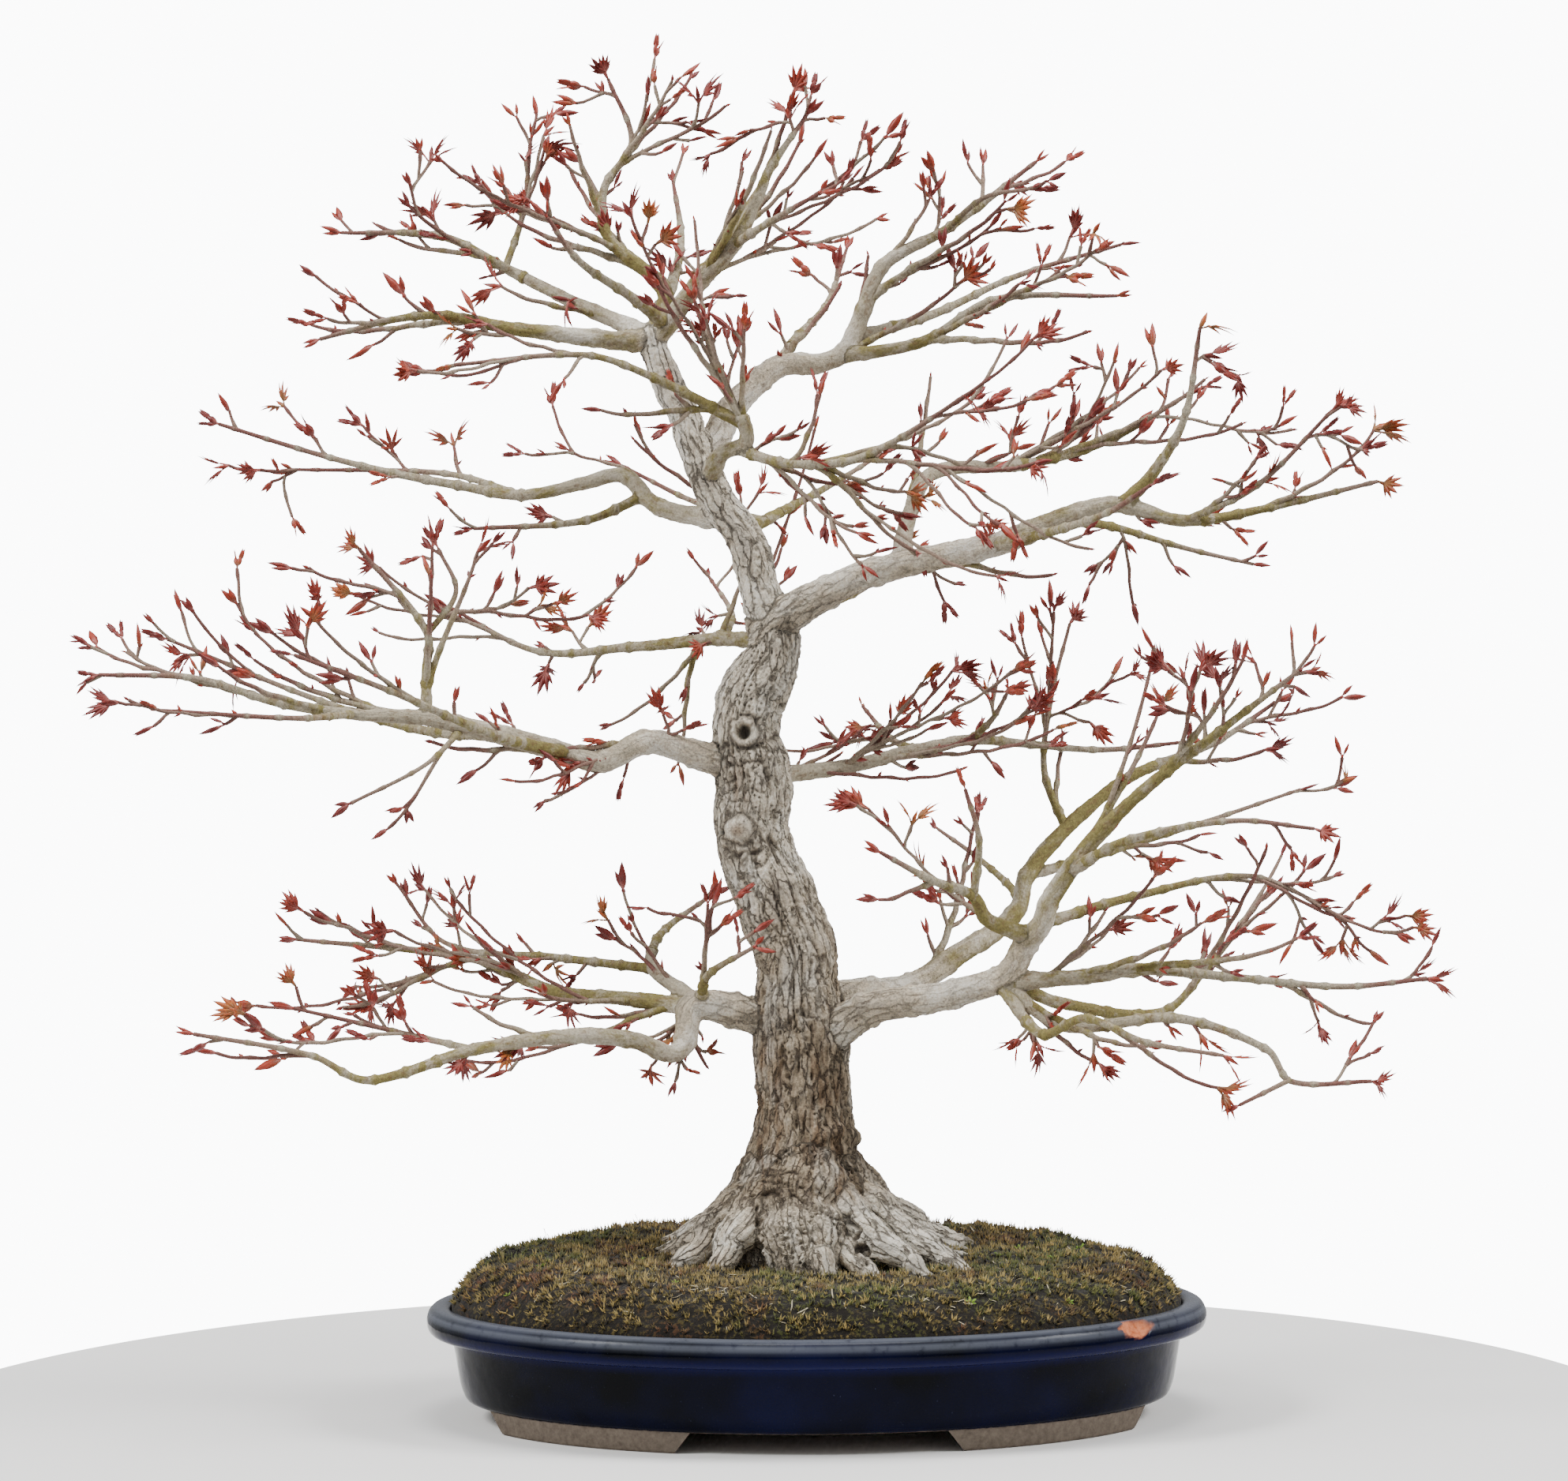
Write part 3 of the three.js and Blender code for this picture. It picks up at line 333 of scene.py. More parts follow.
limbs = {
    "lowerLeft": [
        [(-12, 0, 196, 11), (-35, -4, 203, 8.8), (-49, -8, 206, 8), (-61, -11, 205, 6.6),
         (-64, -15, 188, 5.6), (-71, -22, 182, 4.6), (-91, -34, 189, 4.2), (-123, -50, 191, 3.8),
         (-171, -66, 184, 3), (-211, -76, 171, 2.4), (-229, -80, 169, 2), (-253, -84, 181, 1.5),
         (-313, -90, 192, 1)],
        [(-55, -9, 205, 5), (-95, 6, 210, 3.8), (-131, 26, 214, 3.2), (-171, 44, 230, 2.3),
         (-261, 62, 240, 1)],
        [(-57, -8, 208, 4.2), (-80, 14, 225, 3.4), (-80, 34, 236, 2.6), (-73, 62, 246, 2), (-51, 96, 262, 1)],
        [(-80, 14, 225, 2.6), (-131, 50, 231, 2), (-185, 84, 238, 1.4), (-210, 92, 268, 0.9)],
        [(-56, -8, 208, 3), (-52, -34, 222, 2), (-29, -62, 236, 1)],
        [(-171, -66, 184, 2), (-205, -40, 192, 1.4), (-262, -44, 205, 0.9)],
    ],
    "lowerRight": [
        [(2, -4, 186, 13), (21, -14, 200, 9.6), (33, -22, 206, 8.4), (61, -34, 210, 7.4), (85, -44, 216, 7),
         (99, -50, 222, 6.6), (109, -56, 238, 6), (117, -62, 248, 5.4), (121, -66, 260, 5),
         (141, -74, 288, 4), (169, -82, 316, 3), (205, -86, 344, 2.2), (247, -88, 376, 1)],
        [(97, -50, 218, 4.6), (149, -60, 222, 3.4), (165, -62, 225, 3), (221, -64, 220, 2),
         (269, -62, 216, 1.6), (312, -60, 220, 1)],
        [(103, -52, 218, 3.6), (125, -30, 208, 3), (177, -8, 203, 2.4), (201, 2, 226, 1.8), (231, 8, 264, 1)],
        [(97, -50, 217, 3.6), (129, -66, 196, 3), (185, -84, 200, 2.4), (231, -92, 184, 1.8),
         (243, -94, 168, 1.5), (284, -98, 168, 1)],
        [(243, -94, 169, 1.4), (217, -100, 156, 0.9)],
        [(96, -49, 216, 3.2), (117, -80, 192, 2.6), (139, -104, 200, 2), (169, -116, 188, 1.5),
         (209, -120, 181, 0.9)],
        [(110, -57, 242, 4.4), (89, -76, 250, 3.4), (82, -84, 262, 2.8), (61, -96, 270, 2),
         (35, -104, 284, 1)],
        [(82, -84, 260, 2.4), (85, -92, 290, 1.7), (78, -96, 316, 1)],
        [(131, -70, 274, 3), (160, -106, 290, 2.2), (214, -128, 300, 1.4), (255, -134, 296, 0.9)],
        [(117, -62, 248, 3), (165, -30, 262, 2.2), (222, -16, 272, 1.4), (262, -12, 256, 0.9)],
        [(0, 4, 208, 10), (22, 16, 213, 7.4), (49, 32, 216, 6.6), (77, 48, 234, 5.6), (93, 58, 244, 5.2),
         (105, 66, 256, 4.8), (109, 72, 272, 4.4), (129, 84, 296, 3.8), (161, 98, 322, 3), (205, 110, 340, 2),
         (235, 116, 360, 1)],
        [(109, 72, 272, 3), (150, 108, 284, 2.2), (201, 134, 300, 1.4), (248, 146, 316, 0.9)],
        [(100, 62, 250, 3), (104, 106, 262, 2.4), (86, 146, 280, 1.6), (64, 168, 296, 0.9)],
        [(129, 84, 296, 2.6), (118, 96, 326, 1.8), (122, 100, 364, 1.2), (131, 102, 400, 0.9)],
    ],
    "middle": [
        [(-26, -1, 328, 10.5), (-49, -6, 331, 8.4), (-59, -10, 334, 7), (-83, -18, 340, 6.2),
         (-107, -26, 330, 5.7), (-123, -30, 334, 5.2), (-155, -34, 343, 4.8), (-195, -36, 352, 4),
         (-231, -36, 354, 3), (-271, -34, 360, 2.2), (-311, -32, 372, 1.6), (-361, -30, 374, 1)],
        [(-195, -36, 352, 3), (-195, -34, 376, 2.4), (-195, -34, 396, 2), (-229, -38, 438, 0.9)],
        [(-195, -34, 394, 1.8), (-180, -28, 416, 1.4), (-189, -24, 438, 0.9)],
        [(-123, -30, 334, 3.4), (-162, -74, 344, 2.4), (-214, -104, 366, 1.6), (-262, -120, 384, 0.9)],
        [(-155, -34, 343, 3.2), (-198, 10, 346, 2.4), (-252, 36, 362, 1.6), (-326, 44, 392, 0.9)],
        [(-231, -36, 354, 2), (-262, -72, 352, 1.4), (-330, -84, 356, 0.9)],
        [(-177, -36, 346, 1.8), (-196, -50, 328, 1.2), (-233, -58, 309, 0.9)],
        [(-20, -4, 388, 8), (-24, 22, 391, 4.6), (-48, 58, 392, 3.6), (-92, 96, 388, 2.6),
         (-139, 122, 386, 1.8), (-183, 136, 408, 0.9)],
        [(-48, 58, 392, 2.6), (-40, 108, 404, 1.8), (-52, 152, 424, 0.9)],
    ],
    "midRight": [
        [(-30, 0, 322, 8), (-9, 14, 324, 4.4), (21, 36, 328, 3.8), (53, 58, 336, 3.2), (81, 76, 341, 2.8),
         (109, 92, 339, 2.2), (147, 108, 336, 1.6), (190, 118, 340, 0.9)],
        [(53, 58, 336, 2.4), (40, 96, 342, 1.8), (26, 128, 358, 0.9)],
        [(81, 76, 341, 2.2), (92, 46, 352, 1.5), (100, 20, 366, 0.9)],
    ],
    "upperRight": [
        [(-24, -6, 396, 12), (-7, -12, 408, 9.6), (9, -18, 416, 8), (25, -24, 424, 7.2), (61, -36, 433, 6.4),
         (93, -44, 440, 6), (141, -54, 458, 4.8), (157, -56, 460, 4.2), (189, -58, 452, 3),
         (229, -58, 458, 2), (287, -56, 472, 1)],
        [(157, -56, 460, 3.6), (173, -62, 476, 3), (189, -70, 504, 2), (197, -76, 550, 1)],
        [(45, -30, 430, 5), (49, -18, 452, 4.2), (61, -4, 476, 3.6), (105, 20, 480, 2.8), (149, 34, 492, 2),
         (191, 40, 516, 1)],
        [(93, -44, 440, 3.4), (120, -84, 446, 2.4), (150, -118, 456, 1.6), (172, -138, 470, 0.9)],
        [(120, -50, 451, 3), (148, -14, 450, 2.2), (190, 6, 438, 1.4), (224, 10, 430, 0.9)],
        [(189, -58, 452, 2), (226, -84, 470, 1.5), (264, -96, 508, 0.9)],
        [(-30, 32, 391, 3.2), (-10, 84, 402, 2.4), (24, 124, 416, 1.6), (52, 146, 436, 0.9)],
        [(-32, -4, 442, 7), (-34, 22, 446, 4), (-20, 62, 454, 3), (6, 98, 468, 2), (36, 124, 486, 0.9)],
        [(-40, -32, 489, 3), (-11, -50, 481, 2.4), (25, -62, 484, 2), (77, -74, 514, 0.9)],
    ],
    "upperLeft": [
        [(-42, -8, 455, 7), (-55, 0, 454, 5), (-79, 12, 460, 4.4), (-95, 22, 475, 4), (-115, 32, 471, 3.4),
         (-147, 44, 465, 2.8), (-179, 54, 470, 2.4), (-211, 62, 476, 2), (-251, 70, 486, 1.4),
         (-300, 76, 501, 1)],
        [(-86, 16, 464, 2.8), (-115, 2, 452, 2), (-171, -20, 448, 0.9)],
        [(-147, 44, 465, 2.2), (-186, 88, 476, 1.6), (-262, 108, 478, 0.9)],
        [(-24, 50, 452, 2.4), (-60, 94, 462, 1.6), (-96, 118, 480, 0.9)],
    ],
    "crown": [
        [(-58, -11, 480, 8), (-49, -4, 492, 7.6), (-41, 2, 508, 7.2), (-17, 12, 530, 6), (5, 18, 532, 5.2),
         (17, 20, 538, 4.8), (27, 22, 560, 4.2), (37, 24, 582, 3.6), (69, 28, 600, 2.4), (114, 30, 634, 1)],
        [(14, 20, 535, 3.8), (57, 6, 543, 2.8), (93, -6, 564, 2), (155, -14, 566, 0.9)],
        [(20, 21, 545, 3.2), (60, 48, 556, 2.4), (104, 66, 576, 1.6), (157, 74, 592, 0.9)],
        [(-17, 12, 530, 3.4), (-8, 52, 544, 2.6), (8, 88, 562, 1.8), (18, 112, 590, 0.9)],
        [(69, 28, 600, 1.8), (88, 0, 616, 1.3), (110, -16, 620, 0.9)],
        [(-81, -12, 545, 6), (-91, -14, 543, 5.2), (-123, -20, 546, 4.2), (-155, -26, 550, 3.2),
         (-187, -30, 556, 2.4), (-211, -32, 554, 1.8), (-249, -34, 544, 1)],
        [(-82, -12, 546, 5), (-119, 4, 562, 3.4), (-155, 18, 580, 2.6), (-187, 26, 596, 2),
         (-238, 34, 598, 0.9)],
        [(-80, -12, 542, 5.6), (-71, -16, 554, 5), (-61, -20, 568, 4.6), (-39, -26, 592, 3.6),
         (-27, -28, 616, 3), (-21, -30, 630, 2.4), (-2, -32, 658, 1)],
        [(-80, -12, 546, 5), (-74, -6, 568, 4), (-103, 0, 596, 3), (-105, 4, 620, 2.2), (-91, 6, 644, 1.6),
         (-103, 8, 676, 0.9)],
        [(-78, -10, 556, 4), (-70, 28, 574, 3), (-66, 58, 596, 2), (-70, 78, 624, 0.9)],
        [(-74, -15, 552, 3.6), (-92, -46, 566, 2.6), (-118, -70, 584, 1.8), (-134, -84, 606, 0.9)],
        [(-39, -26, 592, 2.6), (-20, -56, 604, 1.8), (4, -76, 618, 0.9)],
        [(-60, -18, 570, 3), (-40, 20, 600, 2.2), (-22, 44, 628, 0.9)],
        [(-155, 18, 580, 2), (-146, 34, 608, 1.5), (-142, 40, 646, 0.9)],
        [(-52, -14, 474, 5), (-45, -28, 486, 4), (-33, -38, 492, 3.6), (-35, -42, 506, 3.6)],
        [(-36, -40, 502, 3), (-83, -54, 526, 2), (-115, -60, 536, 1.6), (-181, -70, 531, 0.9)],
    ],
}

# Twig tips on the front elevation, across and up. The leaves at "open" have unfolded.
tips = {
    "crown": {
        "open": [
            (-193, 634), (-191, 604), (-145, 634), (-135, 634), (-104, 682), (-91, 606), (-57, 664),
            (-51, 638), (-11, 656), (7, 656), (25, 644), (99, 610), (131, 596), (143, 598), (121, 580),
            (129, 576), (-63, 578), (-71, 578), (-107, 600), (-101, 596), (-83, 602), (-79, 592), (-123, 564),
            (-187, 596), (-171, 544), (-179, 532), (-55, 548)],
        "bud": [
            (-238, 604), (-236, 596), (-251, 576), (-229, 562), (-247, 544), (-219, 597), (-203, 622),
            (-175, 612), (-167, 622), (-161, 614), (-149, 656), (-139, 658), (-131, 658), (-151, 610),
            (-115, 672), (-117, 634), (-83, 668), (-97, 634), (-79, 656), (-67, 676), (-63, 654), (-65, 638),
            (-37, 646), (-31, 650), (-35, 634), (-55, 650), (-17, 654), (-3, 672), (37, 646), (45, 644),
            (11, 632), (15, 624), (25, 620), (35, 630), (57, 620), (65, 620), (65, 604), (87, 632),
            (113, 634), (119, 624), (95, 600), (113, 600), (157, 590), (143, 588), (153, 566), (77, 582),
            (73, 578), (87, 582), (-13, 598), (1, 592), (13, 580), (1, 576), (19, 578), (-51, 566),
            (-39, 566), (-155, 620), (-163, 576), (-191, 558), (-167, 548), (-195, 528), (-125, 524),
            (-39, 548), (-49, 544), (-15, 546)]},
    "upperLeft": {
        "open": [(-267, 510), (-211, 486), (-181, 490), (-295, 480), (-279, 478), (-263, 454), (-131, 454)],
        "bud": [
            (-303, 498), (-295, 508), (-251, 494), (-227, 500), (-213, 474), (-273, 472), (-131, 510),
            (-145, 486), (-89, 500), (-85, 492), (-123, 488), (-169, 454), (-151, 442), (-105, 456),
            (-183, 458)]},
    "upperRight": {
        "open": [
            (3, 516), (-5, 484), (-27, 466), (-45, 462), (19, 472), (57, 464), (49, 440), (77, 516),
            (83, 508), (89, 512), (101, 492), (109, 480), (197, 550), (199, 536), (215, 526), (225, 498),
            (269, 510), (285, 498), (285, 472), (229, 472), (87, 450), (89, 440)],
        "bud": [
            (-7, 498), (7, 450), (-3, 454), (-17, 450), (33, 436), (21, 416), (41, 456), (99, 544),
            (123, 520), (113, 516), (81, 484), (89, 482), (147, 532), (143, 530), (133, 516), (155, 516),
            (161, 528), (173, 540), (181, 524), (199, 520), (239, 510), (237, 500), (221, 492), (257, 496),
            (267, 496), (279, 488), (237, 460), (245, 468), (209, 472), (213, 448), (221, 432), (163, 410),
            (183, 430), (153, 432), (159, 442), (141, 420), (145, 430), (129, 484), (133, 504), (145, 500),
            (73, 420), (67, 412)]},
    "middle": {
        "open": [
            (-351, 360), (-315, 384), (-289, 376), (-249, 410), (-255, 398), (-257, 392), (-231, 440),
            (-197, 434), (-143, 418), (-139, 408), (-131, 410), (-121, 396), (-113, 398), (-133, 380),
            (-151, 348), (-119, 328), (-75, 354), (-103, 340), (-55, 396), (-53, 390), (-47, 404)],
        "bud": [
            (-367, 370), (-365, 388), (-349, 392), (-333, 400), (-333, 348), (-319, 406), (-291, 428),
            (-295, 384), (-263, 428), (-291, 410), (-219, 416), (-225, 406), (-237, 372), (-189, 440),
            (-187, 408), (-185, 404), (-135, 388), (-115, 370), (-163, 350), (-135, 332), (-65, 346),
            (-169, 326), (-231, 309), (-135, 310), (-95, 322), (-181, 360), (-63, 368), (-35, 400),
            (-89, 428), (-59, 432), (-39, 430)]},
    "midRight": {
        "open": [
            (27, 342), (29, 348), (43, 352), (55, 354), (67, 352), (69, 364), (97, 364), (89, 366),
            (109, 356), (113, 356)],
        "bud": [(7, 348), (13, 340), (59, 370), (85, 368), (105, 376), (91, 330), (121, 340)]},
    "lowerRight": {
        "open": [
            (129, 398), (143, 362), (141, 350), (161, 374), (181, 376), (189, 372), (197, 376), (207, 368),
            (225, 380), (253, 376), (245, 368), (209, 356), (231, 350), (269, 320), (249, 296), (29, 306),
            (23, 308), (51, 298), (85, 304), (169, 282), (269, 240), (305, 246), (301, 252), (289, 250),
            (317, 220), (305, 222), (257, 198), (197, 192), (105, 190), (143, 182), (211, 180), (285, 164)],
        "bud": [
            (121, 406), (129, 356), (153, 374), (173, 388), (215, 380), (245, 382), (229, 368), (193, 358),
            (225, 344), (269, 332), (199, 354), (35, 284), (77, 298), (35, 260), (69, 276), (175, 280),
            (201, 284), (221, 286), (243, 286), (265, 280), (245, 268), (253, 260), (165, 252), (175, 252),
            (141, 250), (233, 264), (283, 234), (253, 242), (195, 252), (221, 244), (285, 198), (229, 220),
            (181, 196), (113, 188), (283, 182), (219, 152), (209, 238), (181, 234)]},
    "lowerLeft": {
        "open": [
            (-305, 188), (-287, 202), (-261, 216), (-257, 254), (-181, 256), (-179, 244), (-187, 236),
            (-171, 230), (-157, 214), (-137, 230), (-131, 228), (-121, 208), (-221, 208), (-211, 208),
            (-219, 220), (-175, 180), (-151, 184), (-145, 188), (-103, 250), (-69, 192), (-81, 176),
            (-91, 198)],
        "bud": [
            (-313, 192), (-291, 206), (-277, 194), (-263, 240), (-243, 248), (-227, 240), (-209, 268),
            (-205, 262), (-183, 266), (-197, 246), (-253, 196), (-261, 188), (-237, 196), (-193, 188),
            (-95, 264), (-83, 256), (-51, 264), (-49, 258), (-57, 250), (-37, 242), (-45, 248), (-99, 240),
            (-73, 188), (-63, 196), (-145, 238)]},
}

# How twigs grow. Chances are shares of the drawn tips that also get a twig inside the crown or a long one.
growth = {
    "seed": 7, "runStep": 2.0, "step": 3.5, "attachStep": 3.0, "thickest": 6.5, "turn": 1.9, "stoutCost": 3.0,
    "shortCost": 40, "thinCost": 60, "depthLow": -150, "depthHigh": 150, "depthSpread": 0.5, "tipGirth": 0.88,
    "baseGirth": 1.1, "thicken": 0.014, "lift": 0.35, "nodeEvery": 17.0, "nodeSwell": 0.38,
    "spurChance": 0.12, "spurReach": (6, 15), "budChance": 0.2, "atEnd": 6.5, "inner": 0.2,
    "innerShare": (0.15, 0.7), "innerAside": 15, "long": 0.5, "longJitter": 12, "longReach": (34, 92),
    "longFrom": 1.25, "ceilingReach": 30, "bareLimb": 6, "bareTwig": 2, "ceiling": 678,
    "fullness": {"upperLeft": 0.2, "lowerRight": 0.75, "midRight": 1.6},
}


def placed(point):
    x, y, z = point[:3]
    near = 1 + y / eye["distance"]
    across = x - eye["x"] + eye["tilt"] * (z - eye["z"])
    up = z - eye["z"] - eye["tilt"] * (x - eye["x"])
    return Vector((eye["x"] + across * near, y, eye["z"] + up * near))


# A smooth run through a few points, each with its radius, as points a step apart.
def smoothRun(points, step):
    spots = [Vector(p[:3]) for p in points]
    chords = [0.0]
    for a, b in zip(spots, spots[1:]):
        chords.append(chords[-1] + max((b - a).length, 0.001))
    slopes = []
    for i in range(len(spots)):
        low, high = max(i - 1, 0), min(i + 1, len(spots) - 1)
        slopes.append((spots[high] - spots[low]) / (chords[high] - chords[low]))
    out = []
    for i in range(len(spots) - 1):
        span = chords[i + 1] - chords[i]
        count = max(1, round(span / step))
        for k in range(count):
            t = k / count
            spot = (spots[i] * (2 * t ** 3 - 3 * t ** 2 + 1) + slopes[i] * span * (t ** 3 - 2 * t ** 2 + t)
                    + spots[i + 1] * (3 * t ** 2 - 2 * t ** 3) + slopes[i + 1] * span * (t ** 3 - t ** 2))
            out.append((*spot, points[i][3] + (points[i + 1][3] - points[i][3]) * t))
    out.append(tuple(points[-1][:4]))
    return out


mound = {"edge": 55, "top": 80.5, "slope": 0.045, "lean": -0.011, "rim": 12, "steep": 15}


# Height of the soil and moss: flat-topped, a little lower in front, steep at the rim of the pot.
def moundHeight(x, y):
    out = min(1, math.hypot(x / (potHalf[0] - mound["rim"]), y / (potHalf[1] - mound["rim"])))
    crest = mound["top"] + mound["slope"] * y + mound["lean"] * x
    return mound["edge"] + (crest - mound["edge"]) * (1 - out ** mound["steep"])


# The height at which a spot so far back is drawn on the front elevation.
def drawnUp(z, y):
    return eye["z"] + (z - eye["z"]) / (1 + y / eye["distance"])


# A surface root leaves the trunk, swings a little, thins and dives into the moss.
def rootRun(bearing, reach, radius, swing, girth=1.0, start=0):
    run = []
    reachEnd = reach * math.cos(math.radians(bearing)), reach * math.sin(math.radians(bearing))
    surface = drawnUp(moundHeight(*reachEnd), reachEnd[1])
    levels = (
        (8, 140, 0.75), (24, 118, 1.15), (reach * 0.5, 101, 1.1), (reach * 0.72, surface + 8, 0.95),
        (reach * 0.9, surface + 2, 0.7), (reach * 1.08, surface - 3, 0.48), (reach * 1.24, surface - 12, 0.3))
    for i, (out, z, share) in enumerate(levels[start:]):
        angle = math.radians(bearing + swing * i / 5)
        run.append((out * math.cos(angle) - 2, out * math.sin(angle), z, radius * share * girth))
    return run


# Every run of wood on the front elevation: its zone and its points.
def layOutRuns():
    rng = random.Random(growth["seed"])
    drawn = [("trunk", trunk)]
    for bearing, reach, radius in roots:
        swing = rng.uniform(-8, 8)
        drawn.append(("root", rootRun(bearing, reach, radius, swing)))
        fork = rootRun(bearing + rng.choice((-13, 13)), reach * 0.96, radius, -swing, 0.62, 2)
        drawn.append(("root", fork))
    drawn += [("root", root) for root in flare]
    runs = [(zone, smoothRun(points, growth["runStep"])) for zone, points in drawn]
    for number, (zone, points) in enumerate(runs[1:]):
        for i, (x, y, z, r) in enumerate(points):
            place = Vector((x, y, z)) / 17 + Vector((number, 0, 0))
            swell = 1 + 0.2 * noise.noise(place * 1.3 + Vector((0, 5, 0)))
            across, back = 3 * noise.noise(place), 3 * noise.noise(place + Vector((0, 0, 9)))
            points[i] = (x + across, y + back, z, r * swell)
    for zone, members in limbs.items():
        runs += [(zone, smoothRun(member, growth["runStep"])) for member in members]
    return runs


# Where twigs end: every drawn tip, and more inside and among them, each with its kind and how far to grow.
def twigTargets(zone, flat, rng):
    drawnTips = tips[zone]["open"] + tips[zone]["bud"]
    targets = [(tip, kind, 0) for kind in ("open", "bud") for tip in tips[zone][kind]]
    full = growth["fullness"].get(zone, 1.0)
    for tip, kind, _ in list(targets):
        if rng.random() < growth["inner"] * full:
            out = np.array(tip) - flat[int(np.argmin(np.hypot(*(flat - np.array(tip)).T)))]
            aside = np.array((-out[1], out[0])) / max(1.0, math.hypot(*out))
            aside = aside * rng.gauss(0, growth["innerAside"])
            spot = np.array(tip) - out * rng.uniform(*growth["innerShare"]) + aside
            targets.append((tuple(spot), "bud", 0))
        if rng.random() < growth["long"] * full:
            jitter = growth["longJitter"]
            x, z = tip[0] * 0.98 + rng.gauss(0, jitter), tip[1] - 3 + rng.gauss(0, 0.7 * jitter)
            ceiling = max(other[1] for other in drawnTips if abs(other[0] - tip[0]) < growth["ceilingReach"])
            kind = rng.choice(("bud", "small", "small", "open"))
            targets.append(((x, min(z, ceiling)), kind, rng.uniform(*growth["longReach"])))
    targets.sort(key=lambda item: float(np.min(np.hypot(*(flat - np.array(item[0])).T))))
    return targets


# Twigs grow to their tips from whatever wood stands nearest, so they fork as real ones do.
def growTwigs(zone, runs, rng):
    spots, headings, girths = [], [], []

    def addWood(points, skip):
        step = max(1, round(growth["attachStep"] / growth["runStep"]))
        for i in range(skip, len(points) - 1, step):
            if points[i][3] <= growth["thickest"]:
                spots.append(points[i][:3])
                headings.append((Vector(points[i + 1][:3]) - Vector(points[i][:3])).normalized())
                girths.append(points[i][3])

    ends = []
    for name, points in runs:
        if name == zone:
            addWood(points, growth["bareLimb"])
            if points[-1][3] <= 1.0:
                ends.append({"spot": Vector(points[-1][:3]), "aim": lastHeading(points), "used": None})
    twigs, shoots = [], []
    for (tx, tz), kind, want in twigTargets(zone, np.array(spots)[:, (0, 2)], rng):
        end = min(ends, key=lambda e: math.hypot(e["spot"].x - tx, e["spot"].z - tz), default=None)
        if end and not end["used"] and math.hypot(end["spot"].x - tx, end["spot"].z - tz) < growth["atEnd"]:
            end["used"] = kind
            continue
        way = np.array((tx, tz)) - np.array(spots)[:, (0, 2)]
        length = np.hypot(*way.T)
        lines = np.array([(h.x, h.z) for h in headings])
        cosine = np.sum(way * lines, axis=1) / np.maximum(length, 0.1)
        stout = np.array(girths)
        cost = np.abs(length - want) + growth["turn"] * (1 - cosine) * np.maximum(length, want)
        cost += growth["stoutCost"] * np.maximum(0, stout - 3) + growth["shortCost"] * (length < 5)
        if want:
            cost += growth["thinCost"] * (stout < growth["longFrom"])
        pick = int(np.argmin(cost))
        start, heading = Vector(spots[pick]), headings[pick]
        reach = float(length[pick])
        depth = start.y + rng.uniform(-1, 1) * growth["depthSpread"] * reach + heading.y * reach * 0.5
        depth = max(growth["depthLow"], min(growth["depthHigh"], depth))
        tip = Vector((tx, depth, tz))
        twig = bendTwig(start, heading, tip, girths[pick], rng)
        twigs.append(twig)
        shoots.append({"spot": tip, "aim": lastHeading(twig), "kind": kind})
        addWood(twig, growth["bareTwig"])
    for end in ends:
        shoots.append({"spot": end["spot"], "aim": end["aim"], "kind": end["used"] or "bud"})
    return twigs, shoots


def lastHeading(points):
    back = min(4, len(points) - 1)
    return (Vector(points[-1][:3]) - Vector(points[-1 - back][:3])).normalized()


# A twig leaves its parent at a slant, lifts towards the light, and kinks a little at every node.
def bendTwig(start, heading, tip, parentGirth, rng):
    way = tip - start
    length = way.length
    straight = way.normalized()
    leave = (heading * 0.8 + straight).normalized()
    arrive = (straight + Vector((0, 0, growth["lift"]))).normalized()
    bend = 0.33 * length if length > 10 else 0.1 * length
    handles = (start, start + leave * bend, tip - arrive * bend, tip)
    count = max(3, round(length / growth["step"]))
    base = min(0.75 * parentGirth, growth["baseGirth"] + growth["thicken"] * length)
    base = max(base, growth["tipGirth"] + 0.05)
    side = straight.cross(Vector((rng.uniform(-1, 1), rng.uniform(-1, 1), 0.3))).normalized()
    points = []
    for i in range(count + 1):
        t = i / count
        a, b, c, d = handles
        spot = a * (1 - t) ** 3 + b * 3 * t * (1 - t) ** 2 + c * 3 * t * t * (1 - t) + d * t ** 3
        phase = t * length / growth["nodeEvery"]
        kink = abs((phase % 1) - 0.5) * 2 - 0.5
        spot = spot + side * kink * min(1.1, 0.03 * length) * math.sin(math.pi * t)
        points.append((*spot, base + (growth["tipGirth"] - base) * t))
    return points


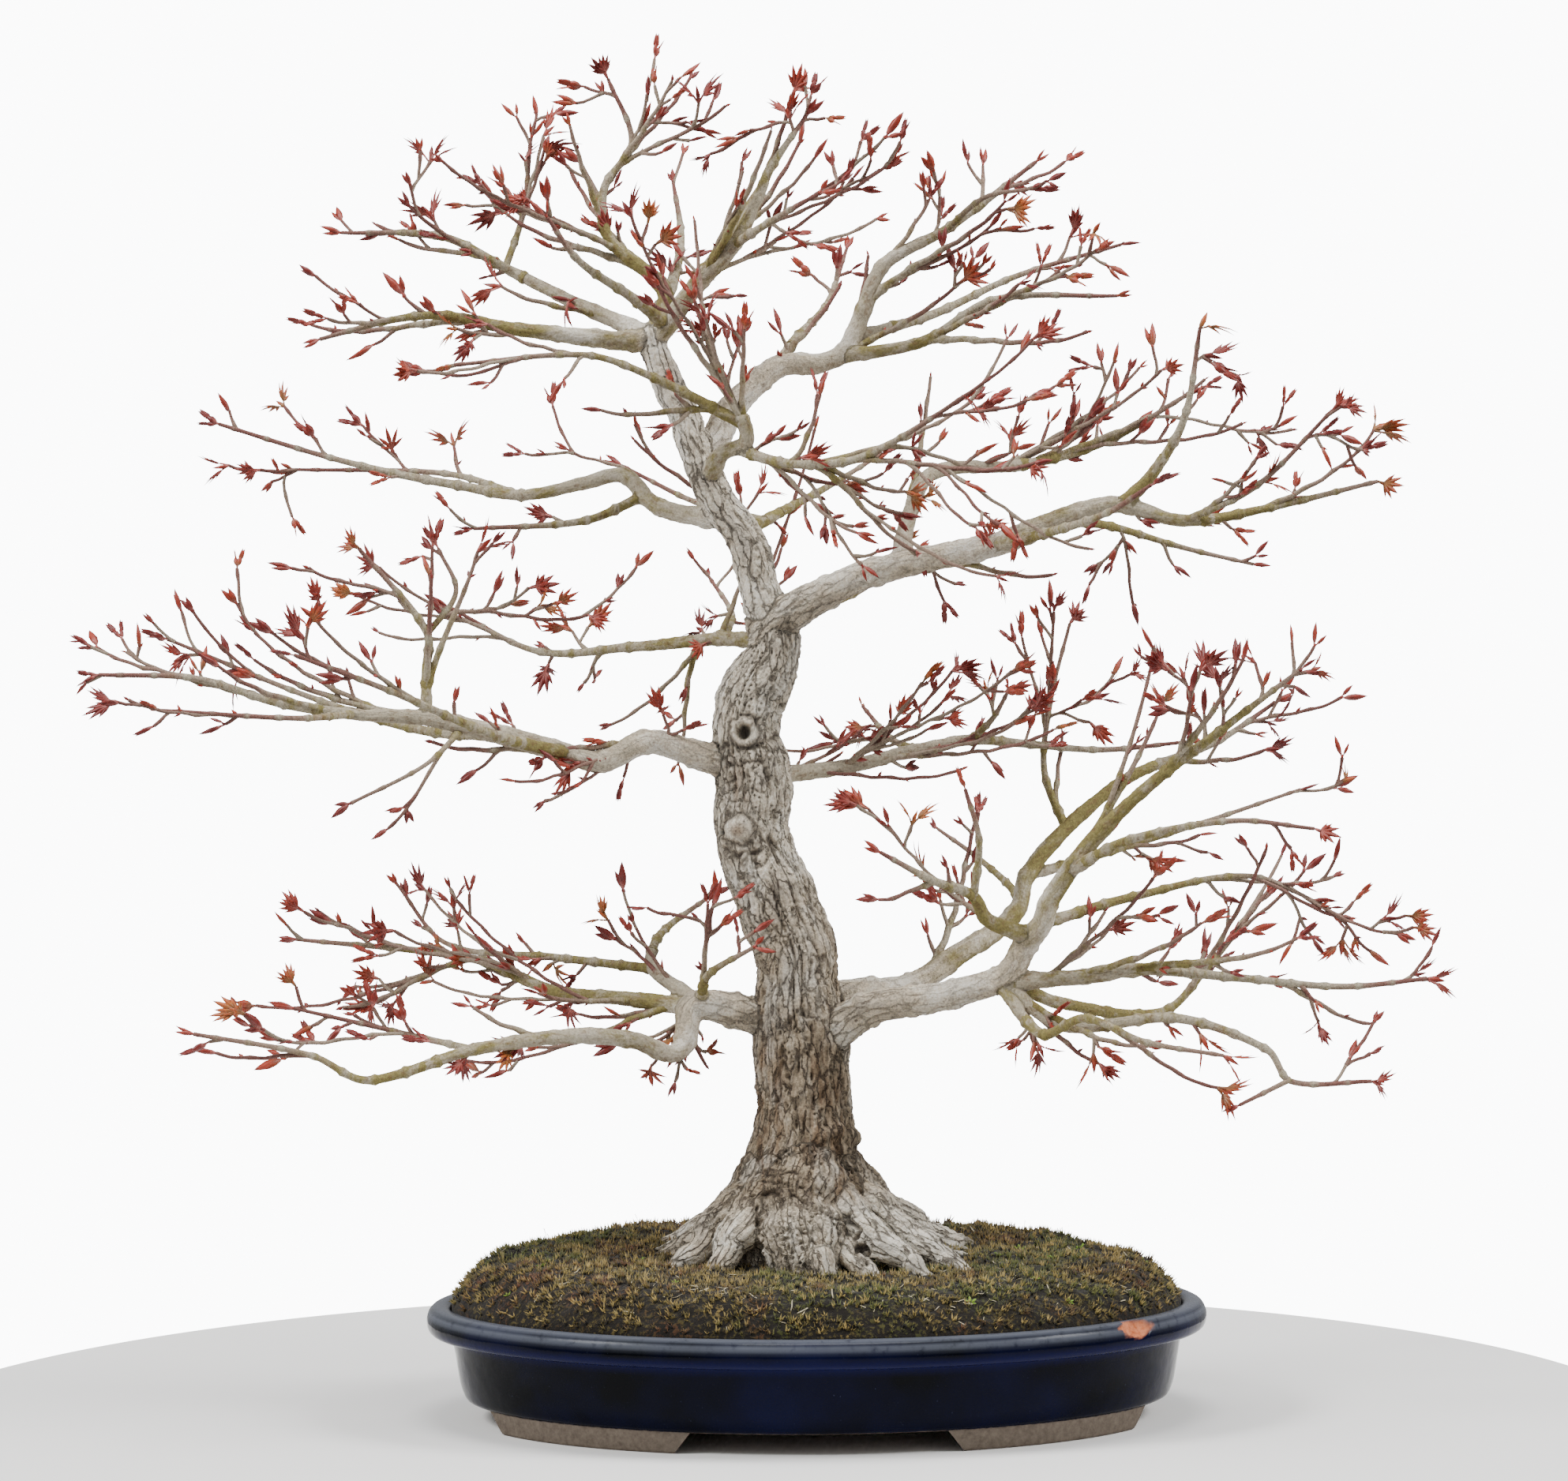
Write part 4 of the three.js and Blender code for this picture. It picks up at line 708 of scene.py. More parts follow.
# Short spurs and opposite bud pairs along the twigs, between the tips that show most.
def addSpurs(twigs, shoots, rng):
    spurs, buds = [], []
    for twig in twigs:
        length = sum((Vector(a[:3]) - Vector(b[:3])).length for a, b in zip(twig, twig[1:]))
        nodes = int(length / growth["nodeEvery"])
        for n in range(1, nodes + 1):
            i = min(len(twig) - 2, round(n / (nodes + 1) * (len(twig) - 1)))
            spot = Vector(twig[i][:3])
            ahead = (Vector(twig[i + 1][:3]) - spot).normalized()
            sideways = Vector((rng.uniform(-1, 1), rng.uniform(-1, 1), rng.uniform(-0.4, 0.4)))
            side = ahead.cross(sideways).normalized()
            for sense in (-1, 1):
                lean = (ahead * 1.1 + side * sense + Vector((0, 0, 0.25))).normalized()
                chance = rng.random()
                if chance < growth["spurChance"]:
                    reach = rng.uniform(*growth["spurReach"])
                    tip = spot + lean * reach
                    if tip.z > growth["ceiling"]:
                        continue
                    spurs.append(bendTwig(spot, lean, tip, twig[i][3], rng))
                    aim = (lean + Vector((0, 0, 0.5))).normalized()
                    shoots.append({"spot": tip, "aim": aim, "kind": "bud"})
                elif chance < growth["spurChance"] + growth["budChance"]:
                    buds.append({"spot": spot + lean * twig[i][3] * 0.5, "aim": lean, "kind": "side"})
    return spurs, buds


# Closes the rings of corners added since first: walls between them and a fan round a spot at each end.
def closeRings(corners, faces, first, sides, ends, fromTop=False):
    levels = (len(corners) - first) // sides
    for level in range(levels - 1):
        for k in range(sides):
            a, b = first + level * sides + k, first + level * sides + (k + 1) % sides
            faces.append((a, a + sides, b + sides, b) if fromTop else (a, b, b + sides, a + sides))
    for level, spot in zip((0, levels - 1), ends):
        centre = len(corners)
        corners.append(spot)
        for k in range(sides):
            a, b = first + level * sides + k, first + level * sides + (k + 1) % sides
            faces.append((centre, b, a) if (level == 0) != fromTop else (centre, a, b))


def addTube(corners, faces, points, sides, grow):
    first = len(corners)
    spots = [placed(p) for p in points]
    side = Vector((0.3, 1, 0.2))
    for i, spot in enumerate(spots):
        ahead = (spots[min(i + 1, len(spots) - 1)] - spots[max(i - 1, 0)]).normalized()
        side = (side - ahead * side.dot(ahead)).normalized()
        other = ahead.cross(side)
        radius = points[i][3] + grow
        for k in range(sides):
            a = 2 * math.pi * k / sides
            corners.append(spot + side * (radius * math.cos(a)) + other * (radius * math.sin(a)))
    closeRings(corners, faces, first, sides, (spots[0], spots[-1]))


def inFrame(points):
    return (np.array(points, float) + np.array(potMiddle) / mm) * mm


def newPiece(name, corners, faces, edges=()):
    mesh = bpy.data.meshes.new(name)
    mesh.from_pydata([tuple(c) for c in inFrame(corners)], list(edges), faces)
    piece = bpy.data.objects.new(name, mesh)
    bpy.context.scene.collection.objects.link(piece)
    return piece


def storeValues(mesh, name, values, kind="FLOAT"):
    layer = mesh.attributes.get(name) or mesh.attributes.new(name, kind, "POINT")
    key = "vector" if kind == "FLOAT_VECTOR" else "value"
    layer.data.foreach_set(key, np.asarray(values, int if kind == "INT" else np.float32).ravel())


# Bakes a piece's modifiers into its mesh.
def settle(piece):
    bpy.context.view_layer.update()
    graph = bpy.context.evaluated_depsgraph_get()
    mesh = bpy.data.meshes.new_from_object(piece.evaluated_get(graph), preserve_all_data_layers=True,
                                           depsgraph=graph)
    piece.modifiers.clear()
    old = piece.data
    piece.data = mesh
    mesh.name = piece.name
    if old.users == 0:
        bpy.data.meshes.remove(old)
    return piece


def triangles(piece):
    return sum(len(face.vertices) - 2 for face in piece.data.polygons)


# Gives a piece its material and smooth faces, and reports it.
def dress(piece, material):
    piece.data.materials.clear()
    piece.data.materials.append(material)
    for face in piece.data.polygons:
        face.use_smooth = True
    print(piece.name, triangles(piece), "triangles")
    return piece


# A tree of geometry nodes with named inputs, and each input's identifier.
def startTree(name, inputs):
    tree = bpy.data.node_groups.new(name, "GeometryNodeTree")
    sockets = {}
    for label, kind in {"Geometry": "Geometry", **inputs, "Material": "Material"}.items():
        socket = tree.interface.new_socket(label, in_out="INPUT", socket_type="NodeSocket" + kind)
        sockets[label] = socket.identifier
    tree.interface.new_socket("Geometry", in_out="OUTPUT", socket_type="NodeSocketGeometry")
    return tree, sockets, partial(addNode, tree), tree.nodes.new("NodeGroupInput").outputs


def endTree(add, shape, material):
    real = add("GeometryNodeRealizeInstances", shape)
    add("NodeGroupOutput", add("GeometryNodeSetMaterial", real, Material=material))


# Runs a tree on a piece with the inputs given, and bakes the result into its mesh.
def runTree(piece, tree, sockets, values):
    modifier = piece.modifiers.new("nodes", "NODES")
    modifier.node_group = tree
    for label, value in values.items():
        modifier[sockets[label]] = value
    settle(piece)


# Depths of the relief and sizes of the body, in millimetres. Runs thicker than "thinnest" join the body.
wood = {
    "voxel": 1.15, "thinnest": 2.6, "overlap": 0.25, "smooth": 3, "grow": 0.2, "boleBudget": 190000,
    "limbBudget": 120000, "flute": 2.8, "fissure": 2.4, "groove": 0.8, "fold": 1.7, "wrinkle": 0.5,
    "crumple": 0.7, "lump": 1.1, "grain": 0.35, "ring": 0.1, "ringEvery": 23.0, "runOffset": 31.7,
    "barkFrom": 9, "flare": (128, 104), "sides": {"trunk": 28, "root": 18}, "limbSides": 14,
}

# Where bark is painted paler or darker: from none to all between two heights, or two places across the flare.
# The right of the flare is painted paler as key light, and low down the bark is darker in patches.
shades = {"limbs": 0.6, "paleBole": (185, 300), "paleFlare": (114, 98), "keyLitAcross": (20, 44),
          "keyLitUp": (126, 106), "darkerLow": (96, 78)}

# Relief that runs with the wood: how often it changes round it, its length along it, and its own shift.
waves = {
    "flute": (1.3, 85, (0, 0, 0)), "crack": (3.4, 62, (5, 0, 0)), "fine": (8, 24, (0, 9, 0)),
    "broken": (2, 15, (0, 0, 40)), "wrinkle": (1.6, 2.4, (0, 0, 0)),
}

# Creases in the front of the flare and under the first wound, each a line of across, up.
creases = [
    {"line": [(-32, 112), (-20, 112), (-8, 108), (4, 105), (14, 98), (23, 94)], "width": 1.0, "depth": 2.0},
    {"line": [(18, 100), (24, 92), (25, 84), (28, 76)], "width": 1.5, "depth": 2.8},
    {"line": [(-27, 104), (-26, 94), (-27, 84), (-24, 70)], "width": 1.3, "depth": 3.0},
    {"line": [(-26, 118), (-14, 117), (-4, 114)], "width": 0.8, "depth": 1.2},
    {"line": [(-28, 123), (-18, 121), (-6, 121), (6, 112)], "width": 0.7, "depth": 1.0},
    {"line": [(-4, 104), (8, 100), (16, 92)], "width": 0.7, "depth": 1.1},
    {"line": [(-50, 338), (-38, 336), (-27, 338), (-18, 342)], "width": 0.9, "depth": 1.5},
    {"line": [(-46, 331), (-36, 329), (-24, 331)], "width": 0.8, "depth": 1.1},
    {"line": [(-43, 286), (-37, 282.5), (-27, 284)], "width": 1.6, "depth": 1.8},
]

# Darkened bark, partly stain and partly painted shade, under the knob, at the fork of the left limb and low
# between the roots: across, up, size and how dark.
shadeAndStainSpots = [
    (-47, 329, 11, 0.5), (-33, 283, 6, 0.6), (-28, 338, 6, 0.35), (33, 88, 6, 0.6), (18, 90, 5, 0.55),
    (-24, 70, 5, 0.8), (-6, 74, 6, 0.55), (-50, 73, 6, 0.6), (10, 78, 4, 0.5), (-9, 104, 10, 0.2),
]

# Rusty streaks that rain has washed down the bole: across, width, top and foot.
streaks = [(-25, 4, 196, 108), (-17, 3, 190, 120), (3, 5, 188, 118), (13, 4, 176, 100), (-38, 5, 336, 300)]

# Old wounds on the front of the bole: across, up, size, how far the callus stands out, width and depth of
# the hollow in it.
scars = [
    (-34, 345, 6.6, 1.7, 4.4, 6), (-36.6, 295.5, 6.4, 3.4, 0, 0), (-45, 294, 2.6, 0.5, 1.6, 2.5),
    (-28, 252, 4, 2.0, 0, 0), (5, 141, 4.4, 2.6, 0, 0), (13, 143, 4, 3.0, 0, 0), (21, 140, 4, 2.4, 0, 0),
    (9, 133, 3.6, 2.2, 0, 0), (17, 133, 3.2, 1.8, 0, 0),
]


# Where the wood is, how thick, which way it runs and how far along, for every step of every thick run.
def woodSamples(runs):
    rows = []
    for number, (zone, points) in enumerate(runs):
        spots = [placed(p) for p in points]
        side = Vector((0.3, -1, 0.2))
        along = 0.0
        for i, spot in enumerate(spots):
            ahead = (spots[min(i + 1, len(spots) - 1)] - spots[max(i - 1, 0)]).normalized()
            side = (side - ahead * side.dot(ahead)).normalized()
            if i:
                along += (spot - spots[i - 1]).length
            rows.append((*spot, points[i][3], *ahead, *side, along, number, zone in ("trunk", "root")))
    return np.array(rows)


def nearestSample(places, samples):
    best = np.empty(len(places), int)
    for start in range(0, len(places), 4000):
        part = places[start:start + 4000]
        square = (np.sum(part ** 2, 1)[:, None] + np.sum(samples[:, :3] ** 2, 1)[None, :]
                  - 2 * part @ samples[:, :3].T)
        best[start:start + 4000] = np.argmin(np.sqrt(np.maximum(square, 0)) - samples[None, :, 3], axis=1)
    return best


def fade(value, low, high):
    t = min(1.0, max(0.0, (value - low) / (high - low)))
    return t * t * (3 - 2 * t)


def farFromLine(x, z, line):
    best = 1000.0
    for (ax, az), (bx, bz) in zip(line, line[1:]):
        dx, dz = bx - ax, bz - az
        t = max(0.0, min(1.0, ((x - ax) * dx + (z - az) * dz) / (dx * dx + dz * dz)))
        best = min(best, math.hypot(x - ax - t * dx, z - az - t * dz))
    return best


# Carves fissures, flutes, wrinkles, node rings and wounds into the thick wood.
def carveBark(piece, samples):
    mesh = piece.data
    count = len(mesh.vertices)
    raw = np.empty(count * 3, np.float32)
    mesh.vertices.foreach_get("co", raw)
    places = raw.reshape(-1, 3).astype(float) / mm - np.array(potMiddle) / mm
    mesh.vertices.foreach_get("normal", raw)
    normals = raw.reshape(-1, 3).astype(float)
    rows = samples[nearestSample(places, samples)]
    shift = places - rows[:, :3]
    ahead, side = rows[:, 4:7], rows[:, 7:10]
    other = np.cross(ahead, side)
    onward = rows[:, 10] + np.sum(shift * ahead, 1)
    around = np.arctan2(np.sum(shift * other, 1), np.sum(shift * side, 1))
    radius, number, old = rows[:, 3], rows[:, 11], rows[:, 12]
    near = 1 + places[:, 1] / eye["distance"]
    across = (places[:, 0] - eye["x"]) / near
    up = (places[:, 2] - eye["z"]) / near
    drawnX = across - eye["tilt"] * up + eye["x"]
    drawnZ = up + eye["tilt"] * across + eye["z"]
    barkPlaces = np.empty((count, 3))
    marks = {name: np.zeros(count) for name in ("lift", "fissure", "stain", "wash", "faded", "clear")}
    for i in range(count):
        c, s, a, r = math.cos(around[i]), math.sin(around[i]), onward[i], radius[i]
        offset = wood["runOffset"] * number[i]
        place = Vector(places[i])
        barkPlaces[i] = (c * r, s * r, a + offset)
        if r > wood["barkFrom"] or old[i]:
            mark = oldRelief(place, c, s, a, r, offset, drawnZ[i])
        else:
            mark = ringRelief(c, s, a, r, offset, wood["ringEvery"] * (0.8 + 0.4 * ((number[i] * 0.37) % 1)))
        mark["lift"] += wood["lump"] * noise.noise(place / 8) * min(1, r / 10)
        mark["lift"] += wood["grain"] * noise.noise(place / 1.7) * min(1, r / 6)
        mark["faded"] = shades["limbs"]
        if old[i]:
            x, z = drawnX[i], drawnZ[i]
            # Paler up the bole and on the flare, plus painted key light on the right of the flare; where this
            # is low, painted shade darkens the bark.
            keyLit = 0.9 * fade(x, *shades["keyLitAcross"]) * fade(z, *shades["keyLitUp"])
            mark["faded"] = max(fade(z, *shades["paleBole"]), 0.75 * fade(z, *shades["paleFlare"])) + keyLit
            # Darker in patches towards the foot of the flare.
            patchy = fade(noise.noise(place / 11), -0.25, 0.35)
            mark["stain"] = 0.75 * fade(places[i][2], *shades["darkerLow"]) * patchy
            if places[i][1] < rows[i][1] + 4:
                frontMarks(mark, place, x, z)
        for name, value in mark.items():
            marks[name][i] = value
    places += normals * marks.pop("lift")[:, None]
    mesh.vertices.foreach_set("co", inFrame(places).astype(np.float32).ravel())
    storeValues(mesh, "barkPlace", barkPlaces, "FLOAT_VECTOR")
    for name, values in marks.items():
        storeValues(mesh, name, values)
    storeValues(mesh, "old", old)
    storeValues(mesh, "girth", np.where(old, np.maximum(radius, 13), radius))
    storeValues(mesh, "tone", (number * 0.618) % 1)
    mesh.update()


# Old bark: flutes, long fissures, fine cracks and folds between plates, and crumpled bark on the flare.
def oldRelief(place, c, s, a, r, offset, z):
    def wave(kind):
        times, run, (dx, dy, dz) = waves[kind]
        return noise.noise(Vector((c * times + dx, s * times + dy, a / run + offset + dz)))

    stout = min(1.0, r / 22)
    flared = fade(z, *wood["flare"])
    broken = fade(wave("broken"), -0.3, 0.1)
    deep = (1 - fade(abs(wave("crack")), 0.0, 0.08)) * (1 - 0.6 * flared) * broken
    small = 1 - fade(abs(wave("fine")), 0.0, 0.16)
    warp = 1.6 * noise.noise(place / 7)
    fold = abs(noise.noise(Vector((c * r / 4.6 + warp, s * r / 4.6 + warp, a / 17 + offset))))
    folded = (1 - fade(fold, 0.0, 0.13)) * fade(noise.noise(place / 19 + Vector((3, 9, 5))), -0.35, 0.15)
    crumple = abs(noise.noise(place / 4.2)) + 0.5 * abs(noise.noise(place / 2.1 + Vector((7, 3, 1))))
    pitted = 1 - fade(crumple, 0.02, 0.3)
    lift = (wood["flute"] * wave("flute") * (1 - 0.5 * flared) - wood["fissure"] * deep) * stout
    lift -= wood["groove"] * small * stout
    lift += wood["wrinkle"] * wave("wrinkle") * (0.4 + 0.6 * fade(noise.noise(place / 30), -0.1, 0.3))
    lift -= (wood["crumple"] * pitted * (0.35 + 0.65 * flared) + wood["fold"] * folded) * stout
    # How dark the cracks are painted, partly as painted shade.
    fissure = max(deep, 0.4 * small, 0.8 * folded, (0.2 + 0.3 * flared) * pitted) * fade(r, 4, 14)
    return {"lift": lift, "fissure": fissure}


# Smooth limbs: a low ring with a crease at every node.
def ringRelief(c, s, a, r, offset, every):
    phase = (a / every + 0.15 * noise.noise(Vector((c, s, offset)))) % 1 - 0.5
    ring = math.exp(-(phase * every / 1.8) ** 2)
    crease = math.exp(-(phase * every / 0.7) ** 2)
    lift = r * wood["ring"] * ring * 1.5 - 0.25 * crease
    lift += 0.06 * r * noise.noise(Vector((c * 1.5, s * 1.5, a / 14 + offset)))
    return {"lift": lift, "fissure": 0.5 * crease}


# Creases, streaks, dark spots of stain and painted shade, and wounds on the front of the bole, at a place
# across and up.
def frontMarks(mark, place, x, z):
    mark.update(wash=0.0, clear=0.0)
    for crease in creases:
        if abs(z - crease["line"][0][1]) < 45:
            wander = 2.6 * noise.noise(place / 7) + 1.2 * noise.noise(place / 2.5)
            gap = abs(farFromLine(x + wander, z + wander, crease["line"])) / crease["width"]
            worn = fade(noise.noise(place / 5 + Vector((2, 4, 8))), -0.5, 0.0)
            cut = (1 - fade(gap, 0.2, 1.7)) * worn
            mark["lift"] -= crease["depth"] * cut
            mark["fissure"] = max(mark["fissure"], cut)
    for middle, width, high, low in streaks:
        if low < z < high and abs(x - middle) < 3 * width:
            bend = 2.5 * noise.noise(Vector((middle, z / 14, 2)))
            band = math.exp(-((x - middle - bend) / width) ** 2)
            ends = fade(z, low, low + 15) * fade(z, high, high - 12)
            patchy = fade(noise.noise(Vector((x / 2, z / 16, 8))), -0.4, 0.2)
            mark["wash"] = max(mark["wash"], band * ends * patchy)
    for middle, height, size, dark in shadeAndStainSpots:
        away = math.hypot(x - middle, z - height) / size
        if away < 2:
            darkSpot = dark * math.exp(-away ** 2) * fade(noise.noise(place / 4), -0.4, 0.3)
            mark["stain"] = max(mark["stain"], darkSpot)
    for middle, height, size, rise, hollow, depth in scars:
        dx, dz = x - middle, z - height
        out = math.hypot(dx, dz) / size
        if out >= 2.2:
            continue
        big = size > 5
        out *= 1 + 0.2 * noise.noise(place / 4.5) + 0.1 * noise.noise(place / 1.8)
        mark["lift"] *= 0.3 + 0.7 * fade(out, 0.75, 1.3)
        mark["fissure"] *= 0.3 + 0.7 * fade(out, 0.6, 1.1)
        callus = math.exp(-((out - 0.85) / 0.42) ** 2)
        if not hollow:
            callus = 1 - 0.5 * min(1, out) ** 2
            mark["wash"] = max(mark["wash"], (1 - fade(out, 0.25, 0.8)) * big)
        mark["lift"] += rise * callus * (1 - fade(out, 0.95, 1.35))
        rim = math.exp(-((out - 1.2) / 0.2) ** 2) * big
        if big:
            mark["clear"] = max(mark["clear"], 0.75 - 0.75 * fade(out, 0.7, 1.15))
        mark["lift"] -= min(0.9, 0.12 * size) * rim
        mark["fissure"] = max(mark["fissure"], min(0.95, 0.15 * size) * rim)
        # The hollow is carved in and painted near black as painted shade.
        if hollow:
            hole = 1 - fade(math.hypot(dx, dz), hollow * 0.6, hollow * 1.15)
            mark["lift"] -= depth * hole
            mark["stain"] = max(mark["stain"], hole)


# One of two pieces of a carved body: the faces on old wood or the rest, closed where they part.
def splitOff(body, name, keepOld):
    mesh = body.data.copy()
    mesh.name = name
    shape = bmesh.new()
    shape.from_mesh(mesh)
    layer = shape.verts.layers.float["old"]
    wrong = [face for face in shape.faces
             if (sum(v[layer] for v in face.verts) / len(face.verts) > 0.5) != keepOld]
    bmesh.ops.delete(shape, geom=wrong, context="FACES")
    bmesh.ops.holes_fill(shape, edges=[edge for edge in shape.edges if edge.is_boundary], sides=0)
    for edge in shape.edges:
        if any(len(face.verts) > 4 for face in edge.link_faces):
            edge.smooth = False
    bmesh.ops.triangulate(shape, faces=[face for face in shape.faces if len(face.verts) > 4])
    shape.to_mesh(mesh)
    shape.free()
    piece = bpy.data.objects.new(name, mesh)
    bpy.context.scene.collection.objects.link(piece)
    return piece


def makeThickWood(runs, material):
    corners, faces, kept = [], [], []
    for zone, points in runs:
        stout = [p for p in points if p[3] >= wood["thinnest"]]
        if len(stout) < 3:
            continue
        kept.append((zone, stout))
        addTube(corners, faces, stout, wood["sides"].get(zone, wood["limbSides"]), wood["grow"])
    body = newPiece("wood_body", corners, faces)
    remesh = body.modifiers.new("remesh", "REMESH")
    remesh.mode = "VOXEL"
    remesh.voxel_size = wood["voxel"] * mm
    remesh.use_smooth_shade = True
    soften = body.modifiers.new("soften", "SMOOTH")
    soften.factor = 0.5
    soften.iterations = wood["smooth"]
    settle(body)
    print("wood remeshed:", triangles(body), "triangles")
    carveBark(body, woodSamples(kept))
    pieces = [splitOff(body, "wood_bole", True), splitOff(body, "wood_limbs", False)]
    bpy.data.objects.remove(body)
    for piece, budget in zip(pieces, (wood["boleBudget"], wood["limbBudget"])):
        if triangles(piece) > budget:
            thin = piece.modifiers.new("thin", "DECIMATE")
            thin.ratio = budget / triangles(piece)
            settle(piece)
        piece.data.validate()
        dress(piece, material)
    return pieces


# Tree of nodes that turns lines into round wood: the radius of each point is its girth in millimetres.
def woodTree(name):
    tree, sockets, add, start = startTree(name, {"Sides": "Int"})
    girth = add("GeometryNodeInputNamedAttribute", "girth", data_type="FLOAT")
    outline = add("GeometryNodeCurvePrimitiveCircle", start["Sides"], 1.0, mode="RADIUS")
    skin = add("GeometryNodeCurveToMesh", add("GeometryNodeMeshToCurve", start["Geometry"]), outline,
               add("times", girth, mm), True)
    inMm = add("ShaderNodeVectorMath", add("GeometryNodeInputPosition"), 1 / mm, operation="SCALE")
    named = add("GeometryNodeStoreNamedAttribute", skin, Name="barkPlace", Value=inMm,
                data_type="FLOAT_VECTOR")
    endTree(add, add("GeometryNodeSetShadeSmooth", named), start["Material"])
    return tree, sockets


# Thin wood: the ends of the limbs and every twig, with a swelling at each node.
def makeThinWood(name, lines, sides, material, rng):
    corners, edges, girths, tones = [], [], [], []
    for points in lines:
        tone = rng.random()
        first = len(corners)
        along = rng.uniform(0, growth["nodeEvery"])
        for i, p in enumerate(points):
            corners.append(placed(p))
            if i:
                along += (Vector(p[:3]) - Vector(points[i - 1][:3])).length
                edges.append((first + i - 1, first + i))
            beat = (along / growth["nodeEvery"]) % 1
            swell = growth["nodeSwell"] * math.exp(-((beat - 0.5) * growth["nodeEvery"] / 1.5) ** 2)
            girths.append(p[3] * (1 + swell))
            tones.append(min(1.0, 0.55 * tone + 0.45 * i / len(points)))
    piece = newPiece(name, corners, [], edges)
    storeValues(piece.data, "girth", girths)
    storeValues(piece.data, "tone", tones)
    runTree(piece, *woodTree(name), {"Sides": sides, "Material": material})
    return dress(piece, material)


# Adds a closed, tapering body along a path: a leaf lobe, a bud or a stalk, with its own count of flats.
def addTaper(shape, path, widths, thick, across, flats, reach):
    corners, faces, reaches = shape
    up = (path[-1] - path[0]).normalized()
    side = (across - up * up.dot(across)).normalized()
    normal = up.cross(side)
    first = len(corners)
    for i, (spot, width) in enumerate(zip(path[:-1], widths)):
        for k in range(flats):
            a = 2 * math.pi * k / flats
            wide, deep = math.cos(a) * width / 2, math.sin(a) * width * thick / 2
            corners.append(spot + side * wide + normal * deep)
            reaches.append(reach[0] + (reach[1] - reach[0]) * i / (len(path) - 1))
    tip = len(corners)
    corners.append(path[-1])
    reaches.append(reach[1])
    levels = len(path) - 1
    for level in range(levels - 1):
        for k in range(flats):
            a, b = first + level * flats + k, first + level * flats + (k + 1) % flats
            faces.append((a, b, b + flats, a + flats))
    for k in range(flats):
        a = first + (levels - 1) * flats + k
        b = first + (levels - 1) * flats + (k + 1) % flats
        faces.append((a, b, tip))
    faces.append(tuple(first + k for k in reversed(range(flats))))


# Sizes in millimetres and degrees. A leaf opens as a fan of pointed lobes on a pink stalk.
leaves = {
    "spear": 12, "spearWidth": 3.5, "lobes": 5, "lobeWidth": 3.1, "lobeLength": 14, "stalk": 5,
    "stalkWidth": 1.1, "sag": 0.3, "stray": 0.16, "seed": 11, "sizeLow": 0.72, "sizeHigh": 1.15,
}


def turned(vector, axis, degrees):
    result = Vector(vector)
    result.rotate(Matrix.Rotation(math.radians(degrees), 3, axis))
    return result


# A folded leaf or closed bud: slim, fattest below the middle, a little curved.
def addSpear(shape, base, aim, length, width, curve=0.08, low=0.0):
    side = aim.orthogonal().normalized()
    bend = aim.cross(side)
    path = [base + aim * length * t + bend * curve * length * t * t for t in (0, 0.2, 0.48, 0.8, 1)]
    addTaper(shape, path, (0.35 * width, 0.85 * width, width, 0.5 * width), 0.72, side, 4, (low, 1))


def addStalk(shape, base, tip, width):
    path = [base, (base + tip) / 2, tip, tip + (tip - base) * 0.1]
    addTaper(shape, path, (width, width * 0.9, width), 1.0, (tip - base).orthogonal(), 3, (0, 0.12))


# An opening leaf: lobes fanned about the end of the stalk, the middle ones longest, all drooping at the tip.
def addFan(shape, base, aim, flat, spread, length, droop, count):
    normal = aim.cross(flat).normalized()
    for i in range(count):
        share = i / (count - 1) * 2 - 1
        way = turned(aim, normal, share * spread)
        size = length * (1 - 0.42 * abs(share) ** 1.6)
        path = [base + way * size * t - normal * droop * size * t * t for t in (0, 0.42, 0.72, 1)]
        wide = leaves["lobeWidth"] * (1 - 0.25 * abs(share))
        addTaper(shape, path, (0.45 * wide, wide, 0.62 * wide), 0.3, way.cross(normal), 4, (0.05, 1))


def newShape():
    return [], [], []


# Shoot ends. A pair has its angle, the size of each bud and how far its stalks lift it. A cluster has the
# angle of each leaf, the spread and droop of its lobes and its size.
pairs = [(13, 1.0, 0.86, 0.6), (24, 1.1, 0.7, 2.4), (17, 0.66, 0.6, 0.5)]
clusters = [
    ((20, 26), 36, 0.14, 0.95), ((34, 30), 46, 0.22, 1.0), ((14, 48, 36), 40, 0.18, 0.9),
    ((58,), 62, 0.34, 1.2),
]


